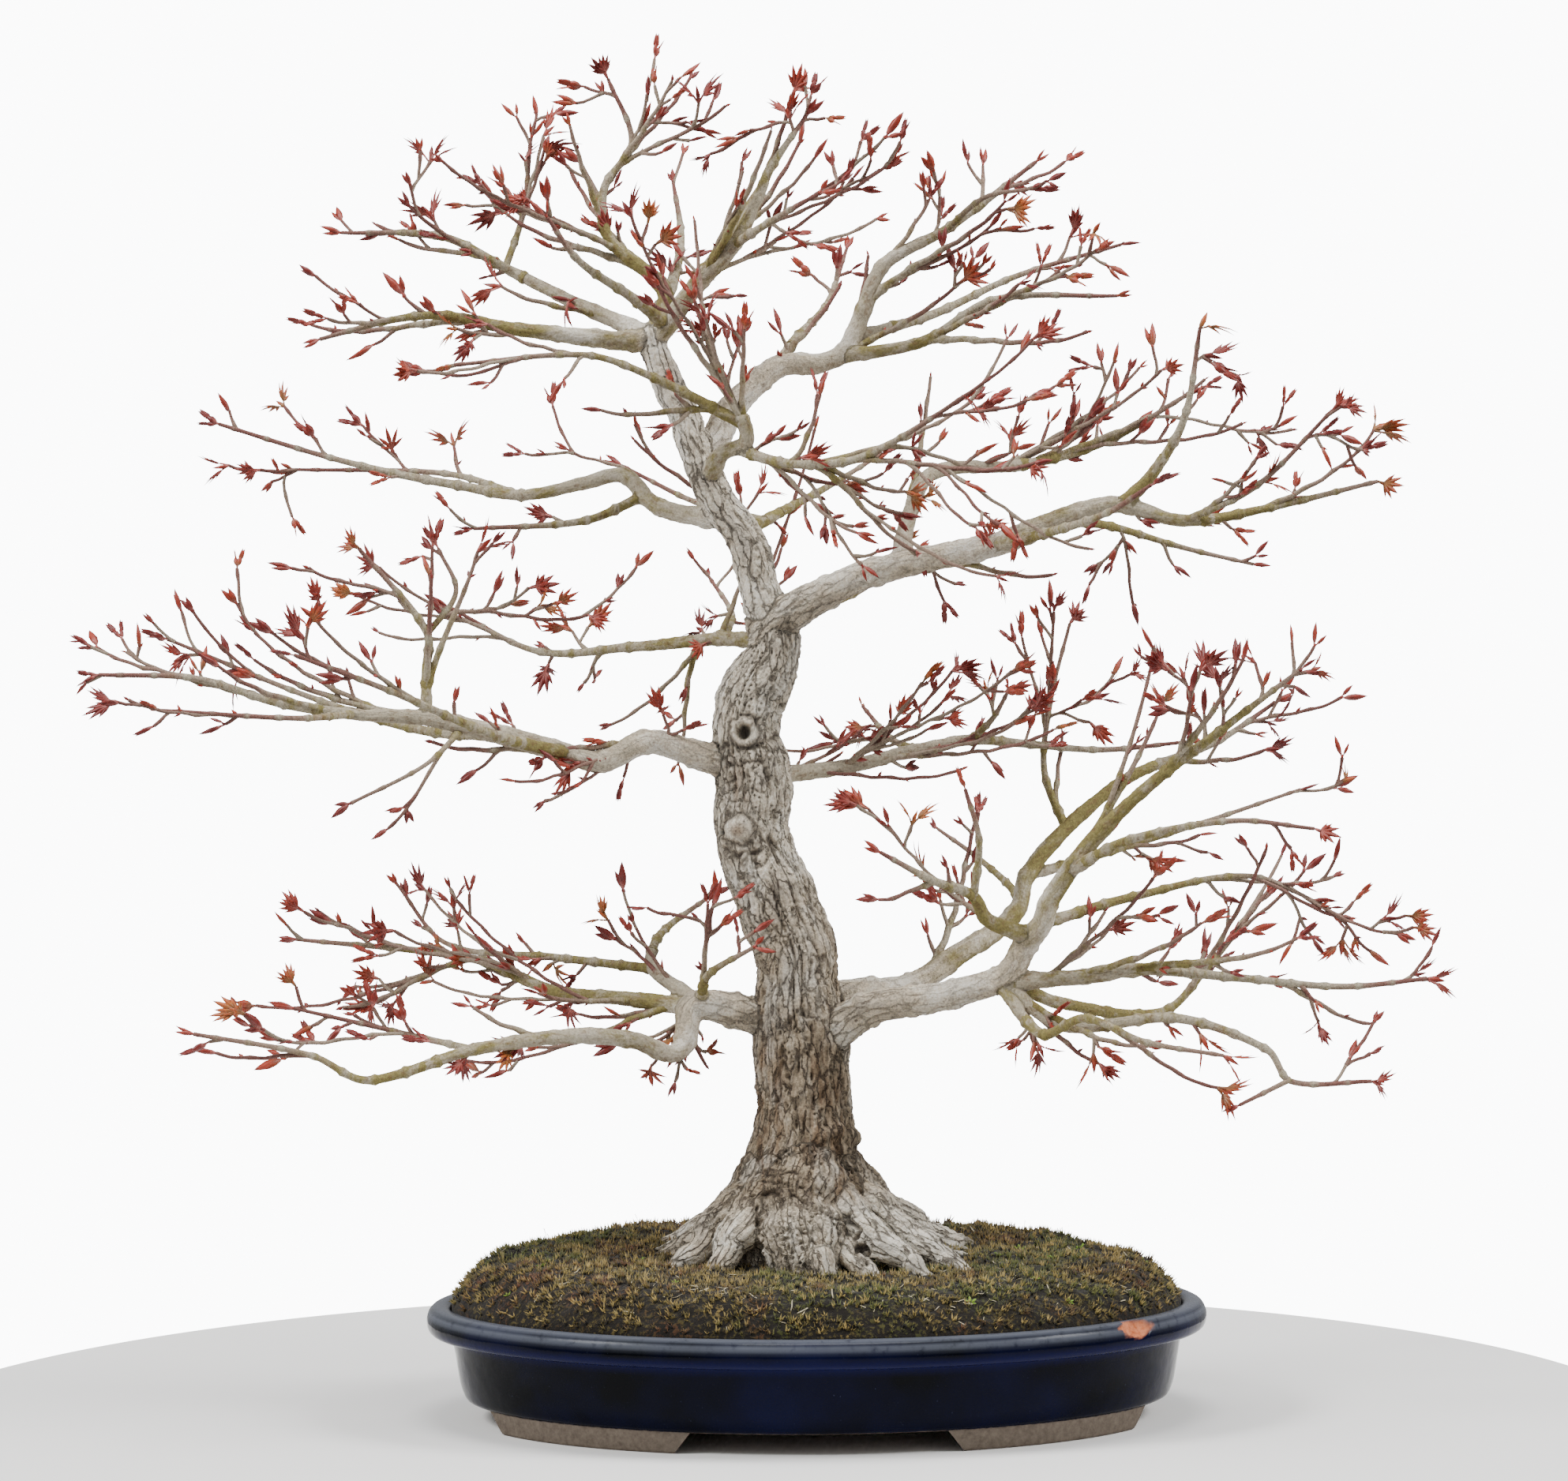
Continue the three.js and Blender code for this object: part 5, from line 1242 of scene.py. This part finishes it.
# The shapes of shoot ends, each grown up +Z from the tip of its twig.
def shootShapes():
    up, right, deep = Vector((0, 0, 1)), Vector((1, 0, 0)), Vector((0, 1, 0))
    foot = Vector((0, 0, -0.6))
    long, wide, stalk, stalkWide = (leaves[key] for key in ("spear", "spearWidth", "stalk", "stalkWidth"))
    shapes = []
    for angle, first, second, lift in pairs:
        shape = newShape()
        for sense, size in ((-1, first), (1, second)):
            aim = turned(up, deep, sense * angle)
            if lift > 1:
                addStalk(shape, foot, aim * lift, stalkWide)
            addSpear(shape, aim * lift * 0.9, aim, long * size, wide * min(1.15, size + 0.1), 0.1 * sense)
        addSpear(shape, Vector((0, 0, -0.8)), up, 3.2, 2.2, 0.0)
        shapes.append(shape)
    single = newShape()
    addSpear(single, foot, up, long * 1.1, wide, 0.12)
    addSpear(single, Vector((0, 0, -0.4)), turned(up, deep, 38), 3.4, 1.7, 0.1)
    halfOpen = newShape()
    for sense in (-1, 1):
        aim = turned(up, deep, sense * 15)
        neck = aim * stalk * 0.5
        addStalk(halfOpen, foot, neck, stalkWide * 1.1)
        addSpear(halfOpen, neck * 0.8, aim, long * 0.62, wide * 1.05, 0.05)
        addFan(halfOpen, neck + aim * long * 0.3, aim, turned(right, up, 40 * sense), 15, long * 0.75, 0.1, 4)
    shapes += [single, halfOpen]
    for tilts, spread, droop, size in clusters:
        shape = newShape()
        for n, tilt in enumerate(tilts):
            spin = 180 * n + 35 * (n // 2)
            aim = turned(turned(up, deep, tilt), up, spin)
            neck = aim * stalk * (0.8 + 0.15 * n)
            addStalk(shape, foot, neck, stalkWide * 1.15)
            reach = leaves["lobeLength"] * size
            addFan(shape, neck * 0.97, aim, turned(deep, up, spin), spread, reach, droop, leaves["lobes"])
        addSpear(shape, foot, up, long * 0.8, wide * 0.9, 0.1)
        shapes.append(shape)
    side = newShape()
    addSpear(side, Vector((0, 0, -0.5)), up, 4.2, 1.9, 0.1)
    return shapes + [side]


# Which shapes each kind of shoot may take.
choices = {
    "bud": (0, 0, 1, 1, 2, 3, 4, 4), "open": (5, 5, 6, 6, 7, 8, 4), "small": (2, 3, 9, 9),
    "side": (9, 9, 9, 2),
}


# Tree of nodes that sets one of several shapes on every point, turned and sized by its values.
def scatterTree(name):
    tree, sockets, add, start = startTree(name, {"Shapes": "Collection", "Size": "Float"})
    parts = add("GeometryNodeCollectionInfo", start["Shapes"], True, True)
    aim, size, kind = (add("GeometryNodeInputNamedAttribute", label, data_type=data)
                       for label, data in (("aim", "FLOAT_VECTOR"), ("size", "FLOAT"), ("kind", "INT")))
    onPoints = add("GeometryNodeInstanceOnPoints", start["Geometry"], None, parts, True, kind,
                   add("FunctionNodeEulerToRotation", aim), add("times", size, start["Size"]))
    endTree(add, onPoints, start["Material"])
    return tree, sockets


def shapeCollection(name, shapes):
    collection = bpy.data.collections.new(name)
    members = []
    for i, (corners, faces, reaches) in enumerate(shapes):
        mesh = bpy.data.meshes.new(f"{name}_{i:02d}")
        mesh.from_pydata([tuple(c * mm) for c in corners], [], faces)
        storeValues(mesh, "reach", reaches)
        for face in mesh.polygons:
            face.use_smooth = True
        member = bpy.data.objects.new(mesh.name, mesh)
        collection.objects.link(member)
        members.append(member)
    return collection, members


# Turns a shape that was grown up +Z to its aim, spun about it.
def turnTo(aim, spin):
    return tuple((aim.to_track_quat("Z", "Y").to_matrix() @ Matrix.Rotation(spin, 3, "Z")).to_euler())


# Sets shapes on points, each given as its spot, turn, size, kind and tint.
def scatter(name, points, shapes, material):
    collection, members = shapeCollection(name, shapes)
    piece = newPiece(name, [point[0] for point in points], [])
    labels = ("aim", "FLOAT_VECTOR"), ("size", "FLOAT"), ("kind", "INT"), ("tint", "FLOAT")
    for i, (label, kind) in enumerate(labels):
        storeValues(piece.data, label, [point[i + 1] for point in points], kind)
    runTree(piece, *scatterTree(name), {"Shapes": collection, "Size": 1.0, "Material": material})
    for member in members:
        bpy.data.objects.remove(member)
    bpy.data.collections.remove(collection)
    return dress(piece, material)


def makeShoots(shoots, material):
    rng = random.Random(leaves["seed"])
    points = []
    for shoot in shoots:
        opened = shoot["kind"] == "open"
        aim = (shoot["aim"] + Vector([rng.gauss(0, leaves["stray"]) for _ in range(3)])).normalized()
        if opened:
            aim = (aim - Vector((0, 0, leaves["sag"]))).normalized()
        points.append((
            placed(shoot["spot"]), turnTo(aim, rng.uniform(0, 2 * math.pi)),
            rng.uniform(leaves["sizeLow"], leaves["sizeHigh"]), rng.choice(choices[shoot["kind"]]),
            rng.random() * (1.0 if opened else 0.8)))
    return scatter("opening_leaves", points, shootShapes(), material)


# The pot: an oval bowl, its lip rolled out over a groove, on four corner feet. Each outline runs upwards
# or inwards as inset from the oval and height, in millimetres.
pot = {
    "outside": [(0, 10.2), (22, 10.2), (19.6, 11), (18, 14), (16.5, 19), (14.6, 30), (13.2, 39), (12.4, 42.4),
                (11.2, 43.6), (6, 43.4), (3.2, 43.6), (1.2, 45), (0.2, 47.4), (0, 50), (0.5, 53), (1.8, 55.6),
                (4, 57.1), (7, 57.5), (10, 57.2), (11.6, 56.2), (12.6, 54), (15, 49), (19, 42), (22, 30),
                (27, 21.4), (34, 19.2)],
    "underside": [(150, 10.2), (90, 10.2), (45, 10.2)], "floor": [(60, 19.1), (100, 19), (145, 19)],
    "foot": [(1.2, 0), (0.3, 0.6), (0, 1.6), (-0.6, 9), (-1, 11.4)], "footHidden": 110, "footSides": 192,
    "sides": 340, "step": 1.5, "wobble": 0.28, "chip": (157, -92, 57.5), "chipLength": 13.5, "chipDepth": 4.2,
    "footInset": 21, "footThick": 15, "gapAlong": 118, "gapAcross": 100, "slant": 12,
    "drainRadius": 14, "drainSpacing": 160, "tieRadius": 3, "tieAlong": 70, "tieAcross": 90, "sharpFrom": 50,
}


def ovalPoint(inset, angle, z):
    return Vector(((potHalf[0] - inset) * math.cos(angle), (potHalf[1] - inset) * math.sin(angle), z))


# A closed skin of oval rings, each given by how far in it lies and how high.
def ovalSkin(levels, sides):
    corners = [ovalPoint(inset, 2 * math.pi * k / sides, z) for inset, z in levels for k in range(sides)]
    faces = []
    closeRings(corners, faces, 0, sides, [Vector((0, 0, z)) for z in (levels[0][1], levels[-1][1])])
    return corners, faces


def cutOrJoin(piece, other, operation):
    modifier = piece.modifiers.new("join", "BOOLEAN")
    modifier.operation = operation
    modifier.solver = "EXACT"
    modifier.object = other
    settle(piece)
    bpy.data.objects.remove(other)


# A block whose foot stands out further than its top by a slant across and along.
def block(name, low, high, slant=(0, 0)):
    corners = [Vector((x + slant[0] * (z == low[2]) * (1 if x > 0 else -1),
                       y + slant[1] * (z == low[2]) * (1 if y > 0 else -1), z))
               for x in (low[0], high[0]) for y in (low[1], high[1]) for z in (low[2], high[2])]
    faces = [(0, 1, 3, 2), (4, 6, 7, 5), (0, 4, 5, 1), (2, 3, 7, 6), (0, 2, 6, 4), (1, 5, 7, 3)]
    return newPiece(name, corners, faces)


def rod(name, x, y, radius):
    sides = 32
    turns = [2 * math.pi * k / sides for k in range(sides)]
    corners = [Vector((x + radius * math.cos(a), y + radius * math.sin(a), z))
               for z in (2, 30) for a in turns]
    faces = [(k, (k + 1) % sides, sides + (k + 1) % sides, sides + k) for k in range(sides)]
    faces += [tuple(reversed(range(sides))), tuple(range(sides, 2 * sides))]
    return newPiece(name, corners, faces)


def makePot(material):
    profile = smoothRun([(inset, 0, z, 0) for inset, z in pot["outside"][1:]], pot["step"])
    levels = pot["underside"] + [(p[0], p[2]) for p in profile] + pot["floor"]
    levels = [(min(inset, potHalf[1] - 2), z) for inset, z in levels]
    piece = newPiece("pot_body", *ovalSkin(levels, pot["sides"]))
    inner = pot["footInset"] + pot["footThick"]
    footLevels = [(pot["footInset"] + inset, z) for inset, z in pot["foot"]]
    hidden = [(pot["footHidden"], z) for _, z in (footLevels[0], footLevels[-1])]
    feet = newPiece("feet", *ovalSkin([hidden[0], *footLevels, hidden[1]], pot["footSides"]))
    core = newPiece("core", *ovalSkin([(inner, -1), (inner, 13)], pot["footSides"]))
    cutOrJoin(feet, core, "DIFFERENCE")
    halfX, halfY = potHalf
    x, y = pot["gapAlong"] / 2, pot["gapAcross"] / 2
    cutOrJoin(feet, block("along", (-x, -halfY, -2), (x, halfY, 14), (pot["slant"], 0)), "DIFFERENCE")
    cutOrJoin(feet, block("across", (-halfX, -y, -2), (halfX, y, 14), (0, pot["slant"])), "DIFFERENCE")
    cutOrJoin(piece, feet, "UNION")
    for side in (-1, 1):
        cutOrJoin(piece, rod("drain", side * pot["drainSpacing"] / 2, 0, pot["drainRadius"]), "DIFFERENCE")
        for back in (-1, 1):
            x, y = side * pot["tieAlong"] / 2, back * pot["tieAcross"] / 2
            cutOrJoin(piece, rod("tie", x, y, pot["tieRadius"]), "DIFFERENCE")
    wearPot(piece)
    dress(piece, material)
    piece.data.set_sharp_from_angle(angle=math.radians(pot["sharpFrom"]))
    return piece


# The hand of the maker and of time: a slight wobble, a chip in the lip, glaze worn thin on its edges and
# painted paler there, partly as a painted highlight.
def wearPot(piece):
    mesh = piece.data
    thin, chips = [], []
    chip = Vector(pot["chip"])
    tangent = Vector((-chip.y / potHalf[1] ** 2, chip.x / potHalf[0] ** 2, 0)).normalized()
    outward = Vector((tangent.y, -tangent.x, 0))
    if outward.dot(chip) < 0:
        outward = -outward
    for vertex in mesh.vertices:
        spot = vertex.co / mm - potMiddle / mm
        swell = noise.noise(Vector((spot.x, spot.y, spot.z * 2.2)) / 34) * pot["wobble"]
        rough = 0.12 * noise.noise(spot / 5)
        way = spot - chip
        along = way.dot(tangent)
        edge = noise.noise(spot / 3.2) * 1.6
        out = way.dot(outward)
        inside = math.hypot(along / pot["chipLength"], min(0, out + 1) / 7, way.z / 8.5)
        depth = max(0.0, 1 - (inside + 0.1 * edge)) if spot.z > 46 and out > -9 else 0
        broken = fade(depth, 0.08, 0.2)
        if spot.z > 9:
            flat = Vector((spot.x / potHalf[0] ** 2, spot.y / potHalf[1] ** 2, 0)).normalized()
            spot = spot + flat * (swell + rough)
        if broken:
            bite = min(pot["chipDepth"], depth * 9) + 0.5 * noise.noise(spot / 1.6)
            spot = spot - (outward * 0.8 + Vector((0, 0, 0.6))) * bite * broken
        vertex.co = (spot + potMiddle / mm) * mm
        radial = math.hypot(spot.x / potHalf[0], spot.y / potHalf[1])
        # Paler glaze on the lip's edge and top: partly thin glaze, partly a painted highlight.
        lip = fade(radial, 0.985, 0.998) * fade(spot.z, 50.5, 55)
        top = fade(spot.z, 55.6, 57) * 0.8
        ledge = fade(spot.z, 46, 44) * fade(radial, 0.97, 0.99)
        thin.append(max(lip, top, 0.15 * ledge))
        chips.append(broken)
    storeValues(mesh, "thin", thin)
    storeValues(mesh, "chip", chips)


# The moss: a closed carpet over the mound, in cushions, with tufts of stems standing on it.
carpet = {
    "rings": 112, "sides": 440, "inset": 12.6, "thick": 4.6, "cushion": 2.8, "lump": 4.2, "knob": 1.8,
    "fine": 0.6, "edgeRise": 1.2, "tint": 0.3, "seed": 5, "tufts": 10400, "tuftLow": 1.8, "tuftHigh": 4.6,
    "stalks": 70, "straws": 420, "weeds": 22,
}


def mossHeight(x, y):
    out = math.hypot(x / (potHalf[0] - carpet["inset"]), y / (potHalf[1] - carpet["inset"]))
    cushions = noise.noise(Vector((x, y, 3)) / 26) * carpet["cushion"]
    lumps = (0.3 - abs(noise.noise(Vector((x, y, 20)) / 12))) * carpet["lump"]
    knobs = (0.25 - abs(noise.noise(Vector((x, y, 40)) / 5))) * carpet["knob"]
    fine = noise.noise(Vector((x, y, 90)) / 1.8) * carpet["fine"]
    edge = math.exp(-((1 - out) / 0.03) ** 2) * carpet["edgeRise"]
    return moundHeight(x, y) + (cushions + lumps + knobs + fine) * fade(1 - out, 0.0, 0.05) + edge


def makeCarpet(material):
    sides, rings = carpet["sides"], carpet["rings"]
    halfX, halfY = potHalf[0] - carpet["inset"], potHalf[1] - carpet["inset"]
    under = carpet["thick"]
    outs = [math.sin((level + 0.6) / rings * math.pi / 2) for level in range(rings - 1)] + [1.0]
    levels = [(out, mossHeight, 0) for out in outs]
    levels += [(1.0, moundHeight, 2.4)] + [(out, moundHeight, under) for out in (0.985, 0.8, 0.4)]
    corners, faces = [], []
    for out, height, drop in levels:
        for k in range(sides):
            a = 2 * math.pi * k / sides
            x, y = halfX * out * math.cos(a), halfY * out * math.sin(a)
            corners.append(Vector((x, y, height(x, y) - drop)))
    ends = Vector((0, 0, mossHeight(0, 0))), Vector((0, 0, moundHeight(0, 0) - under))
    closeRings(corners, faces, 0, sides, ends, fromTop=True)
    piece = newPiece("moss_mat", corners, faces)
    storeValues(piece.data, "tint", [carpet["tint"]] * len(corners))
    return dress(piece, material)


def tuftShapes():
    rng = random.Random(carpet["seed"])
    up = Vector((0, 0, 1))
    shapes = []
    for lean in (18, 30, 42):
        shape = newShape()
        for n in range(3):
            leant = turned(up, Vector((0, 1, 0)), lean * rng.uniform(0.6, 1.2))
            aim = turned(leant, up, 120 * n + rng.uniform(-30, 30))
            path = [Vector((0, 0, -0.3)), aim * rng.uniform(0.85, 1.1)]
            addTaper(shape, path, (0.42,), 1.0, aim.orthogonal(), 3, (0, 1))
        shapes.append(shape)
    stalk = newShape()
    bend = Vector((0.12, 0.03, 0))
    addTaper(stalk, [up * t + bend * t * t for t in (-0.05, 0.5, 0.95, 1.0)], (0.045, 0.035, 0.05), 1.0,
             Vector((1, 0, 0)), 3, (0, 1))
    shapes.append(stalk)
    weed = newShape()
    for n in range(5):
        aim = turned(turned(up, Vector((0, 1, 0)), 52), up, 72 * n)
        path = [aim * t + Vector((0, 0, -0.12 * t * t)) for t in (0, 0.45, 0.8, 1)]
        addTaper(weed, path, (0.1, 0.42, 0.3), 0.22, aim.cross(up), 4, (0, 1))
    shapes.append(weed)
    straw = newShape()
    path = [Vector((t, 0.16 * math.sin(3 * t), 0.14 + 0.1 * math.sin(5 * t))) for t in (-0.5, -0.1, 0.3, 0.5)]
    addTaper(straw, path, (0.13, 0.15, 0.1), 0.4, Vector((0, 1, 0)), 3, (0, 1))
    shapes.append(straw)
    return shapes


def makeTufts(material):
    rng = random.Random(carpet["seed"])
    points = []
    halfX, halfY = potHalf[0] - carpet["inset"] - 0.8, potHalf[1] - carpet["inset"] - 0.8

    def add(kind, size, tint, lean, front=False):
        a, out = rng.uniform(0, 2 * math.pi), math.sqrt(rng.random())
        if front:
            a, out = math.radians(rng.gauss(-80, 38)), rng.uniform(0.5, 0.98)
        x, y = halfX * out * math.cos(a), halfY * out * math.sin(a)
        slope = 0.9 * fade(out, 0.75, 1.0)
        aim = Vector((math.cos(a) * slope + rng.gauss(0, lean), math.sin(a) * slope + rng.gauss(0, lean), 1))
        spot = Vector((x, y, mossHeight(x, y) - 0.3))
        points.append((spot, turnTo(aim, rng.uniform(0, 6.28)), size, kind, tint))

    for _ in range(carpet["tufts"]):
        add(rng.randrange(3), rng.uniform(carpet["tuftLow"], carpet["tuftHigh"]), rng.random() * 0.85, 0.28)
    for _ in range(carpet["stalks"]):
        add(3, rng.uniform(4, 9), rng.uniform(0.3, 0.7), 0.4)
    for i in range(carpet["straws"]):
        add(5, rng.uniform(2.2, 6.5), 0.92, 0.25, i % 3 > 0)
    for _ in range(carpet["weeds"]):
        add(4, rng.uniform(2.5, 5), 1.0, 0.2)
    return scatter("moss_tufts", points, tuftShapes(), material)


# Floor, light and camera

stage = {
    "floor": 0.45, "floorSides": 180, "floorColour": "#F3F2F0", "skyColour": "#F6F7F8", "sky": 0.55,
    "skySeen": 12.0,
    "lights": {"key": ((-1.9, -0.9, 1.9), 0.9, 68), "fill": ((2.0, -0.6, 1.7), 0.9, 60),
               "top": ((0.1, -0.3, 2.5), 1.2, 40)},
}


def addLight(name, place, size, power):
    data = bpy.data.lights.new(name, "AREA")
    data.shape = "DISK"
    data.size = size
    data.energy = power
    light = bpy.data.objects.new(name, data)
    light.location = place
    light.rotation_euler = (Vector((0, 0, 0.3)) - Vector(place)).to_track_quat("-Z", "Y").to_euler()
    bpy.context.scene.collection.objects.link(light)


def makeStage():
    mesh = bpy.data.meshes.new("floor")
    sides = stage["floorSides"]
    turns = [2 * math.pi * k / sides for k in range(sides)]
    mesh.from_pydata([(stage["floor"] * math.cos(a), stage["floor"] * math.sin(a), 0) for a in turns], [],
                     [tuple(range(sides))])
    floor = bpy.data.objects.new("floor", mesh)
    bpy.context.scene.collection.objects.link(floor)
    material, _, shader = startMaterial("paleFloor")
    finishMaterial(shader, {"Base Color": stage["floorColour"], "Roughness": 0.85})
    mesh.materials.append(material)
    world = bpy.data.worlds.new("softSky")
    world.use_nodes = True
    add = partial(addNode, world.node_tree)
    extra = add("times", add("ShaderNodeLightPath", out="Is Camera Ray"), stage["skySeen"] - stage["sky"])
    sky = world.node_tree.nodes["Background"].inputs
    finishMaterial(sky, {"Color": stage["skyColour"], "Strength": add("plus", extra, stage["sky"])})
    bpy.context.scene.world = world
    for name, light in stage["lights"].items():
        addLight(name, *light)


def makeCamera():
    data = bpy.data.cameras.new("camera")
    data.lens = eye["focal"]
    data.sensor_width = 36
    data.clip_start = 0.05
    data.clip_end = 100
    camera = bpy.data.objects.new("camera", data)
    spot = Vector((eye["x"] * mm, -eye["distance"] * mm, eye["z"] * mm)) + potMiddle
    roll = Matrix.Rotation(-math.atan(eye["tilt"]), 4, "Z")
    camera.matrix_world = Matrix.Translation(spot) @ Matrix.Rotation(math.pi / 2, 4, "X") @ roll
    bpy.context.scene.collection.objects.link(camera)
    bpy.context.scene.camera = camera


makeStage()
makeCamera()

barkSkin = makeBark()
runs = layOutRuns()
rng = random.Random(growth["seed"])
bole, stoutLimbs = makeThickWood(runs, barkSkin)

branchLines = []
for zone, points in runs:
    if zone in ("trunk", "root"):
        continue
    thinPart = [p for p in points if p[3] < wood["thinnest"] + wood["overlap"]]
    if len(thinPart) > 2:
        branchLines.append(thinPart)
twigLines, shoots = [], []
for zone in limbs:
    grown, ends = growTwigs(zone, runs, rng)
    twigLines += grown
    shoots += ends
spurs, buds = addSpurs(twigLines, shoots, rng)
shoots += buds
print("twigs:", len(twigLines), "spurs:", len(spurs), "shoots:", len(shoots))
branches = makeThinWood("wood_branches", branchLines, 8, barkSkin, rng)
twigs = makeThinWood("wood_twigs", twigLines + spurs, 5, barkSkin, rng)
for piece in (bole, stoutLimbs, branches, twigs):
    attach(piece, "root")
    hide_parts("wood")

foliage = makeShoots(shoots, makeLeafSkin())
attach(foliage, "root")
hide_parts(*leafNodes)

mossSkin = makeMoss("mossCarpet")
mossPieces = (makeCarpet(mossSkin), makeTufts(mossSkin))
for piece in mossPieces:
    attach(piece, "root")
    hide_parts("moss")

potPiece = makePot(makeGlaze())
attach(potPiece, "root")
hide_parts("pot")

# Fired clay grains in the soil, black polythene in the screens and aluminium wire in the staples.
plain = {
    "soil": makePlain("akadamaSoil", "#4A3524", "#8A6545", 2.4, 0.95, bump=0.9),
    "drain_screen": makePlain("blackPolythene", "#161615", "#242422", 0.8, 0.55),
    "screen_staple": makePlain("brownAluminium", "#5E4636", "#77593F", 1.0, 0.38, metallic=1.0),
}
for name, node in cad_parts.items():
    for start, material in plain.items():
        if name.startswith(start):
            node.data.materials.clear()
            node.data.materials.append(material)
print("materials set")
